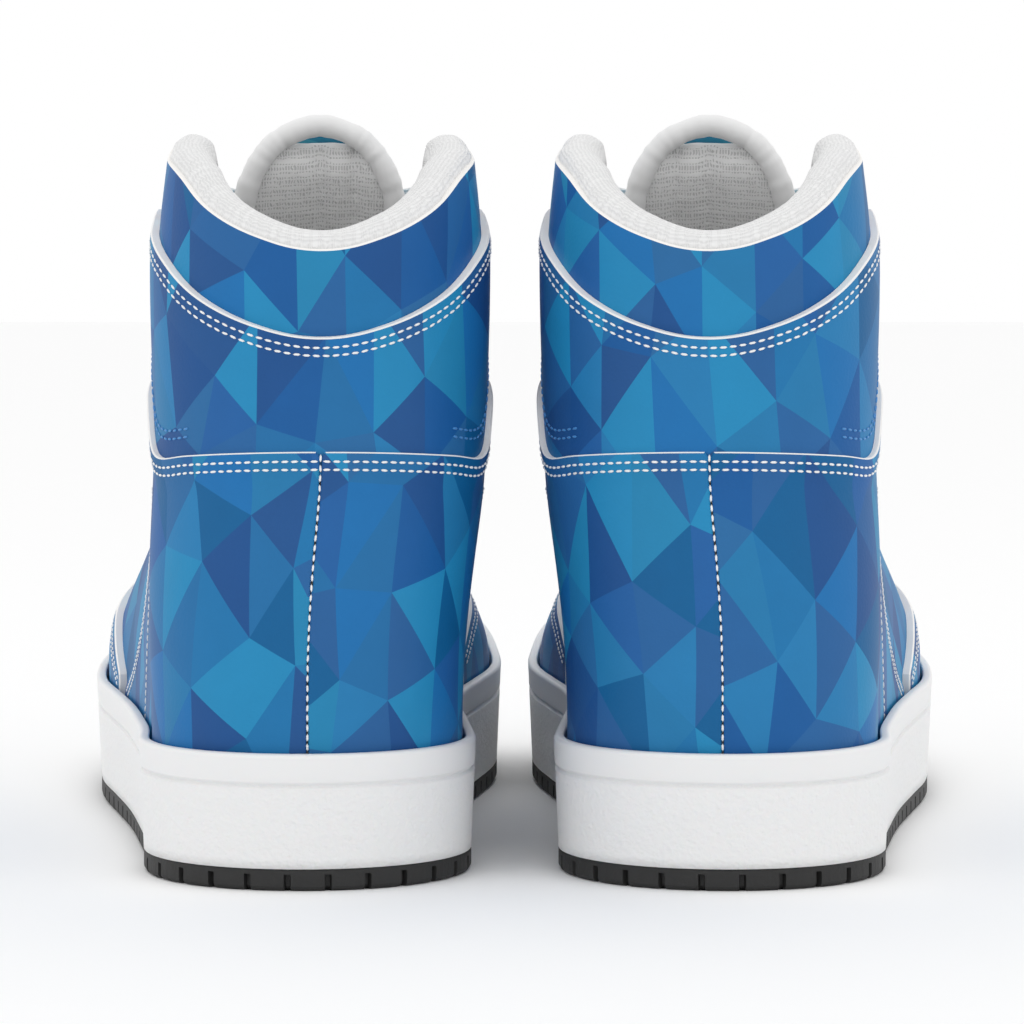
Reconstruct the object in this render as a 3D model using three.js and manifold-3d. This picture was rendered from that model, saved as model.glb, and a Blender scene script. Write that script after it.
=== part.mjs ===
// Basketball high tops: a mirrored pair of cupsole shoes with a padded ankle collar and a hinged tongue.
// Millimetres, +Z up, toes towards +Y. Each shoe is laid out in its own frame, which has its origin on the
// ground under the heel seam and the lateral side of the left shoe towards -X. The right shoe is its mirror.
import * as THREE from "three";
import { mergeVertices } from "three/addons/utils/BufferGeometryUtils.js";
import Module from "manifold-3d";

const wasm = await Module();
wasm.setup();

// ---- Driving dimensions ------------------------------------------------------------------------------
const UPPER_LENGTH = 290; // heel seam to toe tip, at the sole's lip
const UPPER_WIDTH = 100; // across the ball of the foot, at the sole's lip
const SHAFT_HEIGHT = 150; // ground to the collar's low edge at the heel seam

const OUTSOLE_THICKNESS = 5;
const CUP_HEIGHT = 32.5; // ground to the lip of the midsole cup
const CUP_FLOOR = 14.5; // ground to the floor inside the cup
const CUP_WALL = 2.6;
const CUP_FLARE = 1.2; // how far the lip of the cup overhangs its foot
const TOE_SPRING = 12; // rise of the sole under the toe tip
const SPRING_START = 180; // how far along the sole it begins

const LEATHER = 1.6;
const LINING = 1.2;
const SEAM_GAP = 0.5; // clearance between two pieces that lie on or beside each other
const CUP_GAP = 0.7; // clearance between the upper and the cup's wall
const LINING_GAP = 1.8; // clearance behind a lining, which hangs a little loose
const COLLAR_PAD = 6.2; // the foam's thickness
const COLLAR_PAD_DEPTH = 36; // how far the foam reaches down inside
const COLLAR_ROLL = 4.5; // how far the collar stands above its panel's edge

const BOARD_THICKNESS = 1.8;
const INSOLE_THICKNESS = 4.5;
const HEEL_CUSHION_THICKNESS = 7;

const TONGUE_COVER = 1.4;
const TONGUE_PAD = 8;
const TONGUE_EDGE_ROLL = 6; // diameter of the rolled edge
const TONGUE_HALF_WIDTH = 24.5;
const ROLL_INSET = 2.5; // from the cover's edge in to the rolled edge

const EYELET_ROWS = 7;
const EYELET_RADIUS = 2.3;
const EYELET_SETBACK = 8; // eyelet centre to the throat's edge
const LACE_WIDTH = 7;
const LACE_THICKNESS = 1.3;

const SHOE_SPACING = 97.6; // between the two heel seams
const TOE_OUT = 2.5; // degrees that each shoe points outwards

// ---- Grading: the shape tables below are for a 290 x 100 x 150 mm upper with a 32.5 mm cup --------------
const ALONG = UPPER_LENGTH / 290;
const ACROSS = UPPER_WIDTH / 100;
const UP = SHAFT_HEIGHT / 150;
const height = (z) => CUP_HEIGHT + (z - 32.5) * UP;

// A smooth curve through [at, value] stations, held level beyond both ends.
function through(stations, atGrade = 1, valueGrade = 1) {
  const s = stations.map(([at, value]) => [at * atGrade, value * valueGrade]);
  const slope = s.map((_, i) => {
    const [a, b] = [s[Math.max(i - 1, 0)], s[Math.min(i + 1, s.length - 1)]];
    return (b[1] - a[1]) / (b[0] - a[0]);
  });
  return (at) => {
    if (at <= s[0][0]) return s[0][1];
    if (at >= s.at(-1)[0]) return s.at(-1)[1];
    const i = s.findIndex((station) => station[0] > at) - 1;
    const width = s[i + 1][0] - s[i][0];
    const t = (at - s[i][0]) / width;
    const rise = s[i + 1][1] - s[i][1];
    const [m0, m1] = [slope[i] * width, slope[i + 1] * width];
    return s[i][1] + t * (m0 + t * (3 * rise - 2 * m0 - m1 + t * (m0 + m1 - 2 * rise)));
  };
}
const mix = (a, b, t) => a + (b - a) * t;
const ease = (t) => {
  const c = Math.min(1, Math.max(0, t));
  return c * c * (3 - 2 * c);
};

// ---- The last: the surface that the leather's outside follows ------------------------------------------
// Tables by height, from the cup's lip up.
const byHeight = (table, grade) => through(table.map(([z, value]) => [height(z), value * grade]));
const heelSeamY = byHeight([[32.5, 2.5], [50, 0.8], [70, 2], [92, 6], [112, 8.5], [132, 7], [152, 3.5], [190, 0]], ALONG);
const RIDGE_TABLE = [
  [32.5, 290], [42, 288.5], [51, 282], [58, 270], [63, 252], [67, 232], [72, 214], [79, 197],
  [89, 181], [104, 164], [122, 148], [142, 135], [162, 125], [180, 118], [200, 112],
];
const ridgeY = byHeight(RIDGE_TABLE, ALONG);
const LAST_TOP = height(200);
const line = (y, count) =>
  Array.from({ length: count + 1 }, (_, i) => {
    const z = mix(CUP_HEIGHT, LAST_TOP, (i / count) ** 1.4);
    return [y(z), z];
  });
const RIDGE = line(ridgeY, 90);
const HEEL = line(heelSeamY, 20);
function distanceTo(points, y, z) {
  let best = Infinity;
  for (let i = 0; i + 1 < points.length; i++) {
    const [[ay, az], [by, bz]] = [points[i], points[i + 1]];
    const [dy, dz] = [by - ay, bz - az];
    const t = Math.min(1, Math.max(0, ((y - ay) * dy + (z - az) * dz) / (dy * dy + dz * dz)));
    best = Math.min(best, (y - ay - t * dy) ** 2 + (z - az - t * dz) ** 2);
  }
  return Math.sqrt(best);
}
const heelDistance = (y, z) => Math.min(y - heelSeamY(z), distanceTo(HEEL, y, z));
const ridgeDistance = (y, z) => Math.min(ridgeY(z) - y, distanceTo(RIDGE, y, z));

// Half-width and centre line of the foot at the lip and of the leg, blended with height.
const footHalf = through(
  [[0, 36], [50, 35.6], [80, 36.5], [110, 37.9], [138, 41], [170, 46.4], [200, 49.8], [225, 50], [255, 48.5], [290, 44]],
  ALONG,
  ACROSS,
);
const footCentre = through(
  [[0, 0], [50, 0], [80, -1.5], [110, -3.4], [138, -4.5], [170, -3.9], [200, -1.8], [225, -0.3], [255, 2], [290, 5]],
  ALONG,
  ACROSS,
);
const legHalf = byHeight([[60, 38], [100, 38.2], [150, 39], [175, 36.6], [190, 35]], ACROSS);
const legCentre = byHeight([[50, 0.5], [75, 2], [100, 3.3], [150, 3.6], [190, 4]], ACROSS);
const ridgeRound = through([[120, 38], [195, 40], [235, 46], [270, 50]], ALONG, ACROSS);
const HEEL_ROUND = 38 * ACROSS;
const LEG_FROM = height(36);
const LEG_TO = height(98);

const roundOver = (distance, radius) => Math.sqrt(1 - (1 - Math.min(1, Math.max(0, distance / radius))) ** 2.2);
const springAt = (y) =>
  TOE_SPRING * Math.max(0, (y - SPRING_START * ALONG) / ((290 - SPRING_START) * ALONG)) ** 2;

// A place on the last is phi, which runs from 0 at the heel seam to PI at the ridge along the lateral side
// and on to 2 PI along the medial side (or from 0 to -PI), and a height z.
const yAt = (phi, z) => {
  const h = Math.max(z, CUP_HEIGHT);
  return mix(heelSeamY(h), ridgeY(h), (1 - Math.cos(phi)) / 2);
};
const phiAtY = (y, z) => {
  const h = Math.max(z, CUP_HEIGHT);
  const share = (y - heelSeamY(h)) / (ridgeY(h) - heelSeamY(h));
  return Math.acos(1 - 2 * Math.min(1, Math.max(0, share)));
};
const legShare = (h) => ease((h - LEG_FROM) / (LEG_TO - LEG_FROM));
const centreAt = (y, h) => mix(footCentre(y), legCentre(h), legShare(h));
function halfAt(y, h) {
  const rounded = roundOver(heelDistance(y, h), HEEL_ROUND) * roundOver(ridgeDistance(y, h), ridgeRound(y));
  return mix(footHalf(y), legHalf(h), legShare(h)) * rounded;
}
function lastPoint(phi, z) {
  const h = Math.max(z, CUP_HEIGHT);
  const y = yAt(phi, h);
  return new THREE.Vector3(centreAt(y, h) - Math.sign(Math.sin(phi)) * halfAt(y, h), y, z);
}
function lastNormal(phi, z) {
  const e = 0.02;
  const h = Math.max(z, CUP_HEIGHT + e);
  const around = lastPoint(phi + e, h).sub(lastPoint(phi - e, h));
  const up = z <= CUP_HEIGHT ? new THREE.Vector3(0, 0, 1) : lastPoint(phi, h + 1).sub(lastPoint(phi, h - 1));
  return up.cross(around).normalize();
}
// The last's point moved out along its normal and up with the toe spring.
function onShoe(phi, z, out) {
  const p = lastPoint(phi, z).addScaledVector(lastNormal(phi, z), out);
  p.z += springAt(p.y);
  return p;
}
// phi on the front half of the lateral side where the last is that far from its centre line.
function phiAtHalf(half, z) {
  let [low, high] = [Math.PI * 0.45, Math.PI - 1e-4];
  for (let i = 0; i < 20; i++) {
    const middle = (low + high) / 2;
    if (halfAt(yAt(middle, z), z) > half) low = middle;
    else high = middle;
  }
  return (low + high) / 2;
}

// ---- Closed meshes --------------------------------------------------------------------------------------
function closedMesh(points, triangles) {
  let volume = 0;
  for (const [a, b, c] of triangles) volume += points[a].dot(points[b].clone().cross(points[c]));
  const outward = volume > 0 ? triangles : triangles.map(([a, b, c]) => [a, c, b]);
  const g = new THREE.BufferGeometry().setFromPoints(points);
  g.setIndex(outward.flat());
  return mergeVertices(g, 1e-4);
}
function solidOf(geometry) {
  return new wasm.Manifold(
    new wasm.Mesh({
      numProp: 3,
      vertProperties: geometry.attributes.position.array,
      triVerts: new Uint32Array(geometry.index.array),
    }),
  );
}
function geometryOf(solid) {
  const mesh = solid.getMesh();
  const g = new THREE.BufferGeometry();
  g.setAttribute("position", new THREE.BufferAttribute(mesh.vertProperties.slice(), 3));
  g.setIndex(new THREE.BufferAttribute(mesh.triVerts.slice(), 1));
  return g;
}

// Stations from 0 to 1 along a curve, closer together where it turns.
const TURN_WORTH = 36; // millimetres of length that one radian of turning counts as
function evenly(curve, count) {
  const fine = 80;
  const points = Array.from({ length: fine + 1 }, (_, i) => curve(i / fine));
  const steps = points.slice(1).map((point, i) => point.clone().sub(points[i]));
  const measure = [0];
  steps.forEach((step, i) => {
    const turn = i > 0 && step.length() > 1e-9 && steps[i - 1].length() > 1e-9 ? step.angleTo(steps[i - 1]) : 0;
    measure.push(measure[i] + step.length() + TURN_WORTH * turn);
  });
  return Array.from({ length: count + 1 }, (_, k) => {
    const wanted = (k / count) * measure[fine];
    const i = Math.min(fine - 1, Math.max(0, measure.findIndex((m) => m >= wanted) - 1));
    return k === count ? 1 : (i + (wanted - measure[i]) / (measure[i + 1] - measure[i] || 1)) / fine;
  });
}

// A sheet of one thickness: a grid of points on each face, stitched round the rim. at(p, q, face) gives a
// point for p and q from 0 to 1 and face 0 or 1. The first row can be kept to a share of q of its own.
function sheet(at, cols, rows, firstRow = 0) {
  const across = evenly((t) => at(t, 0.5, 1), cols);
  const rest = evenly((t) => at(0.5, mix(firstRow, 1, t), 1), firstRow ? rows - 1 : rows);
  const upward = [...(firstRow ? [0] : []), ...rest.map((t) => mix(firstRow, 1, t))];
  const points = [];
  const triangles = [];
  const id = (i, j, face) => (i * (rows + 1) + j) * 2 + face;
  for (const p of across) for (const q of upward) for (const face of [0, 1]) points.push(at(p, q, face));
  const quad = (a, b, c, d) => triangles.push([a, b, c], [a, c, d]);
  // Both faces split each cell along the diagonal that stands further out, which keeps the layers nested.
  const standsOut = (a, b, c, d) => {
    const out = points[a + 1].clone().sub(points[a]);
    const rise = points[a].clone().add(points[c]).sub(points[b]).sub(points[d]);
    return rise.dot(out) >= 0;
  };
  for (let i = 0; i < cols; i++)
    for (let j = 0; j < rows; j++) {
      const corners = [id(i, j, 0), id(i + 1, j, 0), id(i + 1, j + 1, 0), id(i, j + 1, 0)];
      if (!standsOut(...corners)) corners.push(corners.shift());
      quad(...corners.map((corner) => corner + 1));
      const [a, b, c, d] = corners;
      quad(a, d, c, b);
    }
  for (let i = 0; i < cols; i++) {
    quad(id(i, 0, 0), id(i + 1, 0, 0), id(i + 1, 0, 1), id(i, 0, 1));
    quad(id(i + 1, rows, 0), id(i, rows, 0), id(i, rows, 1), id(i + 1, rows, 1));
  }
  for (let j = 0; j < rows; j++) {
    quad(id(0, j + 1, 0), id(0, j, 0), id(0, j, 1), id(0, j + 1, 1));
    quad(id(cols, j, 0), id(cols, j + 1, 0), id(cols, j + 1, 1), id(cols, j, 1));
  }
  return closedMesh(points, triangles);
}

// A panel of the upper between phi edges, which vary with z, and z edges, which vary with y. One that goes
// down into the cup has its first row there, because the last bends at the cup's lip.
function panel({ from, to, low, high, inner, outer, cols, rows }) {
  const inCup = low === bottom ? 1 / rows : 0;
  const rise = (y, q, phi) => {
    if (q < inCup) return mix(low(y), CUP_HEIGHT, q / inCup);
    return mix(inCup ? CUP_HEIGHT : low(y), high(y, phi), (q - inCup) / (1 - inCup));
  };
  const place = (p, q) => {
    let z = height(80);
    let phi = mix(from(z), to(z), p);
    for (let i = 0; i < 14; i++) {
      z = rise(yAt(phi, z), q, phi);
      phi = mix(from(z), to(z), p);
    }
    return [phi, z];
  };
  return sheet((p, q, face) => onShoe(...place(p, q), face ? outer : inner), cols, rows, inCup);
}

// A closed section of [out, above the edge] points swept along the collar's edge, from one phi to another.
function edgeAt(edge, phi) {
  let z = height(160);
  for (let i = 0; i < 14; i++) z = edge(yAt(phi, z));
  return z;
}
function sweptRound(edge, profile, from, to, cols) {
  const outlineOf = (points) => points.map(([x, y]) => new THREE.Vector2(x, y));
  const section = THREE.ShapeUtils.isClockWise(outlineOf(profile)) ? [...profile].reverse() : profile;
  const at = (t, out, above) => onShoe(mix(from, to, t), edgeAt(edge, mix(from, to, t)) + above, out);
  const rings = evenly((t) => at(t, 0, 0), cols).map((t) => section.map(([out, above]) => at(t, out, above)));
  const count = section.length;
  const triangles = [];
  for (let i = 0; i < cols; i++)
    for (let k = 0; k < count; k++) {
      const [a, b] = [i * count + k, i * count + ((k + 1) % count)];
      triangles.push([a, b, b + count], [a, b + count, a + count]);
    }
  for (const [a, b, c] of THREE.ShapeUtils.triangulateShape(outlineOf(section), [])) {
    triangles.push([a, c, b], [a, b, c].map((corner) => corner + cols * count));
  }
  return closedMesh(rings.flat(), triangles);
}

// A solid whose outline follows the last: rings of [out, z] points, closed by ribs across the first and last.
const LIP_STATIONS = evenly((t) => lastPoint(t * Math.PI, CUP_HEIGHT), 240);
function ringed(profile, steps, from = 0, to = Math.PI) {
  const points = [];
  const triangles = [];
  const count = 2 * steps;
  const whole = from === 0 && to === Math.PI;
  for (const [out, z] of profile)
    for (let k = 0; k < count; k++) {
      const share = Math.min(k, count - k) / steps;
      const warped = whole ? LIP_STATIONS[Math.round(share * 240)] : share;
      const phi = mix(from, to, warped) * (k > steps ? -1 : 1);
      points.push(onShoe(phi, z, out));
    }
  const ring = (r, k) => r * count + ((k + count) % count);
  for (let r = 0; r + 1 < profile.length; r++)
    for (let k = 0; k < count; k++) {
      triangles.push([ring(r, k), ring(r, k + 1), ring(r + 1, k + 1)]);
      triangles.push([ring(r, k), ring(r + 1, k + 1), ring(r + 1, k)]);
    }
  const last = profile.length - 1;
  for (let k = 0; k < steps; k++) {
    const [a, b, c, d] = [k, k + 1, -k - 1, -k];
    for (const r of [0, last]) {
      const corners = [a, b, c, d].map((at) => ring(r, at));
      if (r === 0) corners.reverse();
      triangles.push([corners[0], corners[1], corners[2]], [corners[0], corners[2], corners[3]]);
    }
  }
  return closedMesh(points, triangles.filter(([a, b, c]) => a !== b && b !== c && a !== c));
}

// ---- Levels: how far each layer's faces lie from the last -----------------------------------------------
const OVERLAY = [SEAM_GAP, SEAM_GAP + LEATHER];
const BASE = [-LEATHER, 0];
const LINED = [-LEATHER - LINING_GAP - LINING, -LEATHER - LINING_GAP];
const CUP_INSIDE = OVERLAY[1] + CUP_GAP;
const CUP_OUTSIDE = CUP_INSIDE + CUP_WALL;
const UPPER_BOTTOM = CUP_FLOOR + SEAM_GAP;
const BOARD_TOP = UPPER_BOTTOM + BOARD_THICKNESS;

// ---- Pattern lines of the upper, in the side view --------------------------------------------------------
const level = (z) => () => height(z);
const edgeLine = (table) => through(table.map(([y, z]) => [y * ALONG, height(z)]));
const byLevel = (table) => byHeight(table, ALONG);
const atY = (y) => (z) => phiAtY(y * ALONG, z);
const bottom = () => UPPER_BOTTOM;
const SEAM_TURN = SEAM_GAP / UPPER_LENGTH; // a seam's clearance as an angle round the last
const GRAZE = 3 * SEAM_TURN; // the same where the last is narrow

const collarEdge = edgeLine([
  [3.5, 150], [6, 153.4], [14, 161], [21, 167], [30, 170.3], [45, 172.5], [65, 174], [84, 174], [95, 170.5], [110, 160],
]);
const bandTop = edgeLine([[7, 129.5], [9.5, 132.5], [17, 139.5], [27, 148], [40, 154], [60, 157.5], [84, 159]]);
const bandBottom = edgeLine([[7, 103.5], [20, 102], [30, 101], [37, 104], [44, 113], [54, 119], [84, 124]]);
const heelPanelTop = (y) => bandBottom(Math.min(y, 54 * ALONG)) - 2 * SEAM_GAP;
const heelPanelFront = byLevel([[15, 142], [32.5, 137], [42, 119], [60, 95], [85, 75], [108, 62], [120, 55]]);
const counterSplit = (y) => height(104 + (0.13 * y) / ALONG);
const toeOverlayTop = edgeLine([[150, 36], [170, 47], [192, 55], [215, 57], [245, 54], [270, 50], [292, 47]]);
const vampLine = byLevel([[15, 222], [45, 216], [60, 208], [78, 196]]);
const THROAT_START = height(78);
const throatHalf = through([[78, 13], [110, 15], [145, 19], [176, 25]].map(([z, x]) => [height(z), x * ACROSS]));
const throatPhi = (z, more = 0) => phiAtHalf(throatHalf(z) + more, z);
const throatEdge = (z) => (z < THROAT_START ? phiAtY(vampLine(z), z) - 2 * SEAM_TURN : throatPhi(z));
const eyestayBack = byLevel([[62, 197], [80, 176], [100, 150], [125, 121], [150, 105], [178, 93]]);
const liningSplit = (z) => mix(130, 179, (z - UPPER_BOTTOM) / (height(76) - UPPER_BOTTOM)) * ALONG;

// Layers above the cup are drawn for the lateral side; medial() turns a panel's phi edges over to the other.
const medial = ({ from, to, ...rest }) => ({ ...rest, from: (z) => -from(z), to: (z) => -to(z) });
const bothSides = (name, spec, material) => [
  [`${name}_lateral`, panel(spec), material],
  [`${name}_medial`, panel(medial(spec)), material],
];
// A spec's phi edges for a panel that runs round the heel, or round the toe, from one side to the other.
const roundHeel = (edge) => ({ from: (z) => -edge(z), to: edge });
const roundToe = (edge) => ({ from: edge, to: (z) => 2 * Math.PI - edge(z) });
const [baseIn, baseOut] = BASE;
const [overIn, overOut] = OVERLAY;
const base = { inner: baseIn, outer: baseOut };
const overlay = { inner: overIn, outer: overOut };
const lined = { inner: LINED[0], outer: LINED[1] };
const VAMP_LINING_DROP = 0.7; // the vamp's lining hangs looser still

// ---- Sole unit ------------------------------------------------------------------------------------------
const CUP_STEPS = 27;
const INNER_STEPS = 18;
function outsole() {
  const foot = CUP_OUTSIDE - CUP_FLARE;
  return ringed([[foot - 1.2, 0], [foot, 1.2], [foot, OUTSOLE_THICKNESS]], CUP_STEPS);
}
const CUSHION_INSET = -9;
const cushion = (gap, z0, z1) =>
  ringed(
    [[CUSHION_INSET + gap, z0], [CUSHION_INSET + gap, z1]],
    8,
    phiAtY(26 * ALONG - gap, 0),
    phiAtY(84 * ALONG + gap, 0),
  );
function midsole() {
  const cup = ringed(
    [
      [CUP_OUTSIDE - CUP_FLARE, OUTSOLE_THICKNESS + SEAM_GAP / 2],
      [CUP_OUTSIDE, CUP_HEIGHT],
      [CUP_INSIDE, CUP_HEIGHT],
      [CUP_INSIDE, CUP_FLOOR],
    ],
    CUP_STEPS,
  );
  const pocket = cushion(SEAM_GAP, CUP_FLOOR - HEEL_CUSHION_THICKNESS - SEAM_GAP, CUP_FLOOR + 5);
  return geometryOf(solidOf(cup).subtract(solidOf(pocket)));
}
const heelCushion = () => cushion(0, CUP_FLOOR - HEEL_CUSHION_THICKNESS, CUP_FLOOR);
const BOARD_GAP = 1.7;
const INSIDE = LINED[0] - VAMP_LINING_DROP - BOARD_GAP; // the edge of the board and the insole
const strobelBoard = () => ringed([[INSIDE, UPPER_BOTTOM], [INSIDE, BOARD_TOP]], INNER_STEPS);
function insole() {
  const z = BOARD_TOP + SEAM_GAP / 2;
  return ringed([[INSIDE - 0.2, z], [INSIDE - 0.2, z + INSOLE_THICKNESS]], INNER_STEPS);
}

// ---- Upper: the base layer ------------------------------------------------------------------------------
const COUNTER_FRONT = 58;
const heelCounter = () =>
  panel({
    ...roundHeel(atY(COUNTER_FRONT)),
    low: bottom,
    high: (y) => counterSplit(y) - SEAM_GAP,
    ...base,
    cols: 16,
    rows: 5,
  });
const collarPanel = () =>
  panel({
    ...roundHeel((z) => throatPhi(z) - GRAZE),
    low: counterSplit,
    high: collarEdge,
    ...base,
    cols: 20,
    rows: 4,
  });
const quarter = {
  from: (z) => phiAtY(COUNTER_FRONT * ALONG, z) + GRAZE,
  to: throatEdge,
  low: bottom,
  high: (y) => counterSplit(y) - SEAM_GAP,
  ...base,
  cols: 11,
  rows: 9,
};
const vampEdge = (z) => phiAtY(vampLine(z) + 1.2 * SEAM_GAP, z);
const TOE_SUNK = 0.3; // the toe's leather is skived, so it lies a little deeper than the quarters
const PUFF_SUNK = 0.5;
const toePuff = () =>
  panel({
    ...roundToe(vampEdge),
    low: bottom,
    high: level(41),
    inner: baseIn,
    outer: baseOut - PUFF_SUNK,
    cols: 16,
    rows: 2,
  });
const toeBox = () =>
  panel({
    ...roundToe(vampEdge),
    low: level(41.7),
    high: level(77),
    inner: baseIn,
    outer: baseOut - TOE_SUNK,
    cols: 14,
    rows: 8,
  });

// ---- Upper: the overlays --------------------------------------------------------------------------------
const bandFront = (z) => phiAtY(84 * ALONG, z);
const ankleBand = () =>
  panel({ ...roundHeel(bandFront), low: bandBottom, high: bandTop, ...overlay, cols: 20, rows: 3 });
const heelPanel = {
  from: () => SEAM_TURN,
  to: (z) => phiAtY(heelPanelFront(z), z),
  low: bottom,
  high: heelPanelTop,
  ...overlay,
  cols: 12,
  rows: 6,
};
const toeOverlay = () =>
  panel({
    from: atY(150),
    to: (z) => 2 * Math.PI - phiAtY(158 * ALONG, z),
    low: bottom,
    high: toeOverlayTop,
    ...overlay,
    cols: 28,
    rows: 6,
  });

// Eyelets sit in a row set back from the throat's edge.
const eyeletZ = (row) => mix(height(85), height(164), row / (EYELET_ROWS - 1));
const eyeletHalf = (z) => throatHalf(z) + EYELET_SETBACK;
const eyelet = (row, side, out) => onShoe(side * phiAtHalf(eyeletHalf(eyeletZ(row)), eyeletZ(row)), eyeletZ(row), out);
function peg(from, to, radius, sides) {
  const g = new THREE.CylinderGeometry(radius, radius, from.distanceTo(to), sides);
  const along = to.clone().sub(from).normalize();
  const turn = new THREE.Quaternion().setFromUnitVectors(new THREE.Vector3(0, 1, 0), along);
  g.applyQuaternion(turn).translate(...from.clone().add(to).divideScalar(2));
  g.deleteAttribute("normal");
  g.deleteAttribute("uv");
  return mergeVertices(g, 1e-4);
}
function eyestay(side) {
  const strip = panel({
    from: (z) => side * phiAtY(eyestayBack(z), z),
    to: (z) => side * (z < THROAT_START ? phiAtY(vampLine(z) - ALONG, z) : throatPhi(z)),
    low: (y) => Math.max(height(63), toeOverlayTop(y) + 1),
    high: (y) => Math.min(collarEdge(y) - 0.5, height(170)),
    ...overlay,
    cols: 3,
    rows: 10,
  });
  let solid = solidOf(strip);
  for (let row = 0; row < EYELET_ROWS; row++) {
    const punch = peg(eyelet(row, side, overIn - 3), eyelet(row, side, overOut + 3), EYELET_RADIUS, 6);
    solid = solid.subtract(solidOf(punch));
  }
  return geometryOf(solid);
}

// ---- Upper: linings and the padded collar ---------------------------------------------------------------
const liningFront = (z) => (z < height(76) ? phiAtY(liningSplit(z), z) : throatPhi(z, 1));
const quarterLining = () =>
  panel({
    ...roundHeel(liningFront),
    low: bottom,
    high: (_, phi) => edgeAt(collarEdge, phi) - COLLAR_PAD_DEPTH - 2 * SEAM_GAP,
    ...lined,
    cols: 16,
    rows: 5,
  });
const vampLining = () =>
  panel({
    ...roundToe((z) => liningFront(z) + 2 * GRAZE),
    low: bottom,
    high: level(75),
    inner: LINED[0] - VAMP_LINING_DROP,
    outer: LINED[1] - VAMP_LINING_DROP,
    cols: 18,
    rows: 7,
  });

// The collar's foam stands inside the collar panel; its knitted lining rolls over the foam's top.
const COLLAR_END = 34; // half-width of the shaft where the padding ends, short of the tongue
const FOAM_OUT = -LEATHER - 1.3; // clear of the collar panel's flat facets
const FOAM_IN = FOAM_OUT - COLLAR_PAD;
const FOAM_TOP = COLLAR_ROLL - LINING - SEAM_GAP;
const collarSweep = (section, cols) => {
  const end = phiAtHalf(COLLAR_END * ACROSS, height(172));
  return sweptRound(collarEdge, section, -end, end, cols);
};
const collarFoam = () =>
  collarSweep(
    [
      [FOAM_OUT, -COLLAR_PAD_DEPTH],
      [FOAM_OUT, 1],
      [FOAM_OUT - 2.2, FOAM_TOP],
      [FOAM_IN + 2.2, FOAM_TOP],
      [FOAM_IN, 0],
      [FOAM_IN, -COLLAR_PAD_DEPTH],
    ],
    17,
  );
function collarLining() {
  const skin = LINING + SEAM_GAP;
  return collarSweep(
    [
      [FOAM_OUT + SEAM_GAP, SEAM_GAP + 0.2],
      [FOAM_OUT + SEAM_GAP, 1.5],
      [FOAM_OUT - 2, FOAM_TOP + SEAM_GAP],
      [FOAM_IN + 2, FOAM_TOP + SEAM_GAP],
      [FOAM_IN - SEAM_GAP, 0.5],
      [FOAM_IN - SEAM_GAP, -COLLAR_PAD_DEPTH],
      [FOAM_IN - skin, -COLLAR_PAD_DEPTH],
      [FOAM_IN - skin, 1],
      [FOAM_IN + 1.2, FOAM_TOP + skin],
      [FOAM_OUT - 1.2, FOAM_TOP + skin],
      [FOAM_OUT + skin, 2],
      [FOAM_OUT + skin, SEAM_GAP + 0.2],
    ],
    17,
  );
}

// ---- Tongue: follows the ridge a little inside the last, bent round the leg --------------------------------
const TONGUE_FROM = height(82);
const TONGUE_TO = height(184);
const TONGUE_INSET = -LINED[0] + 1.7; // its outer face below the ridge
const TONGUE_BEND = 34 * ACROSS;
const tongueShare = through([[0, 0.66], [0.35, 0.86], [0.7, 1], [0.84, 0.97], [0.93, 0.8], [0.98, 0.55], [1, 0.36]]);
function onTongue(x, along, depth) {
  const z = mix(TONGUE_FROM, TONGUE_TO, along);
  const slope = ridgeY(z + 0.5) - ridgeY(z - 0.5);
  const out = new THREE.Vector2(1, -slope).normalize();
  const sink = TONGUE_INSET + depth + TONGUE_BEND - Math.sqrt(TONGUE_BEND ** 2 - x * x);
  return new THREE.Vector3(centreAt(ridgeY(z), z) + x, ridgeY(z) - out.x * sink, z - out.y * sink);
}
const tongueHalf = (along, edge) => TONGUE_HALF_WIDTH * ACROSS * tongueShare(along) - edge;
const tongueLength = (TONGUE_TO - TONGUE_FROM) * 1.2;
const tongueSheet = (top, edge, from, depths) =>
  sheet(
    (p, q, face) => {
      const along = mix(from, 1 - top / tongueLength, q);
      return onTongue(mix(-1, 1, p) * tongueHalf(along, edge), along, depths[face]);
    },
    5,
    9,
  );
const padFrom = TONGUE_COVER + SEAM_GAP;
const PAD_FROM = 0.03; // where the pad starts, as a share of the tongue
const ROLL_GAP = 1; // the rolled edge stands this much clear of the cover's flat facets
const PAD_TOP = TONGUE_EDGE_ROLL / 2 + 2.5;
const PAD_EDGE = PAD_TOP + ROLL_INSET;
const tongueCover = () => tongueSheet(0, 0, 0, [TONGUE_COVER, 0]);
const tonguePad = () => tongueSheet(PAD_TOP, PAD_EDGE, PAD_FROM, [padFrom + TONGUE_PAD, padFrom]);
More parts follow.
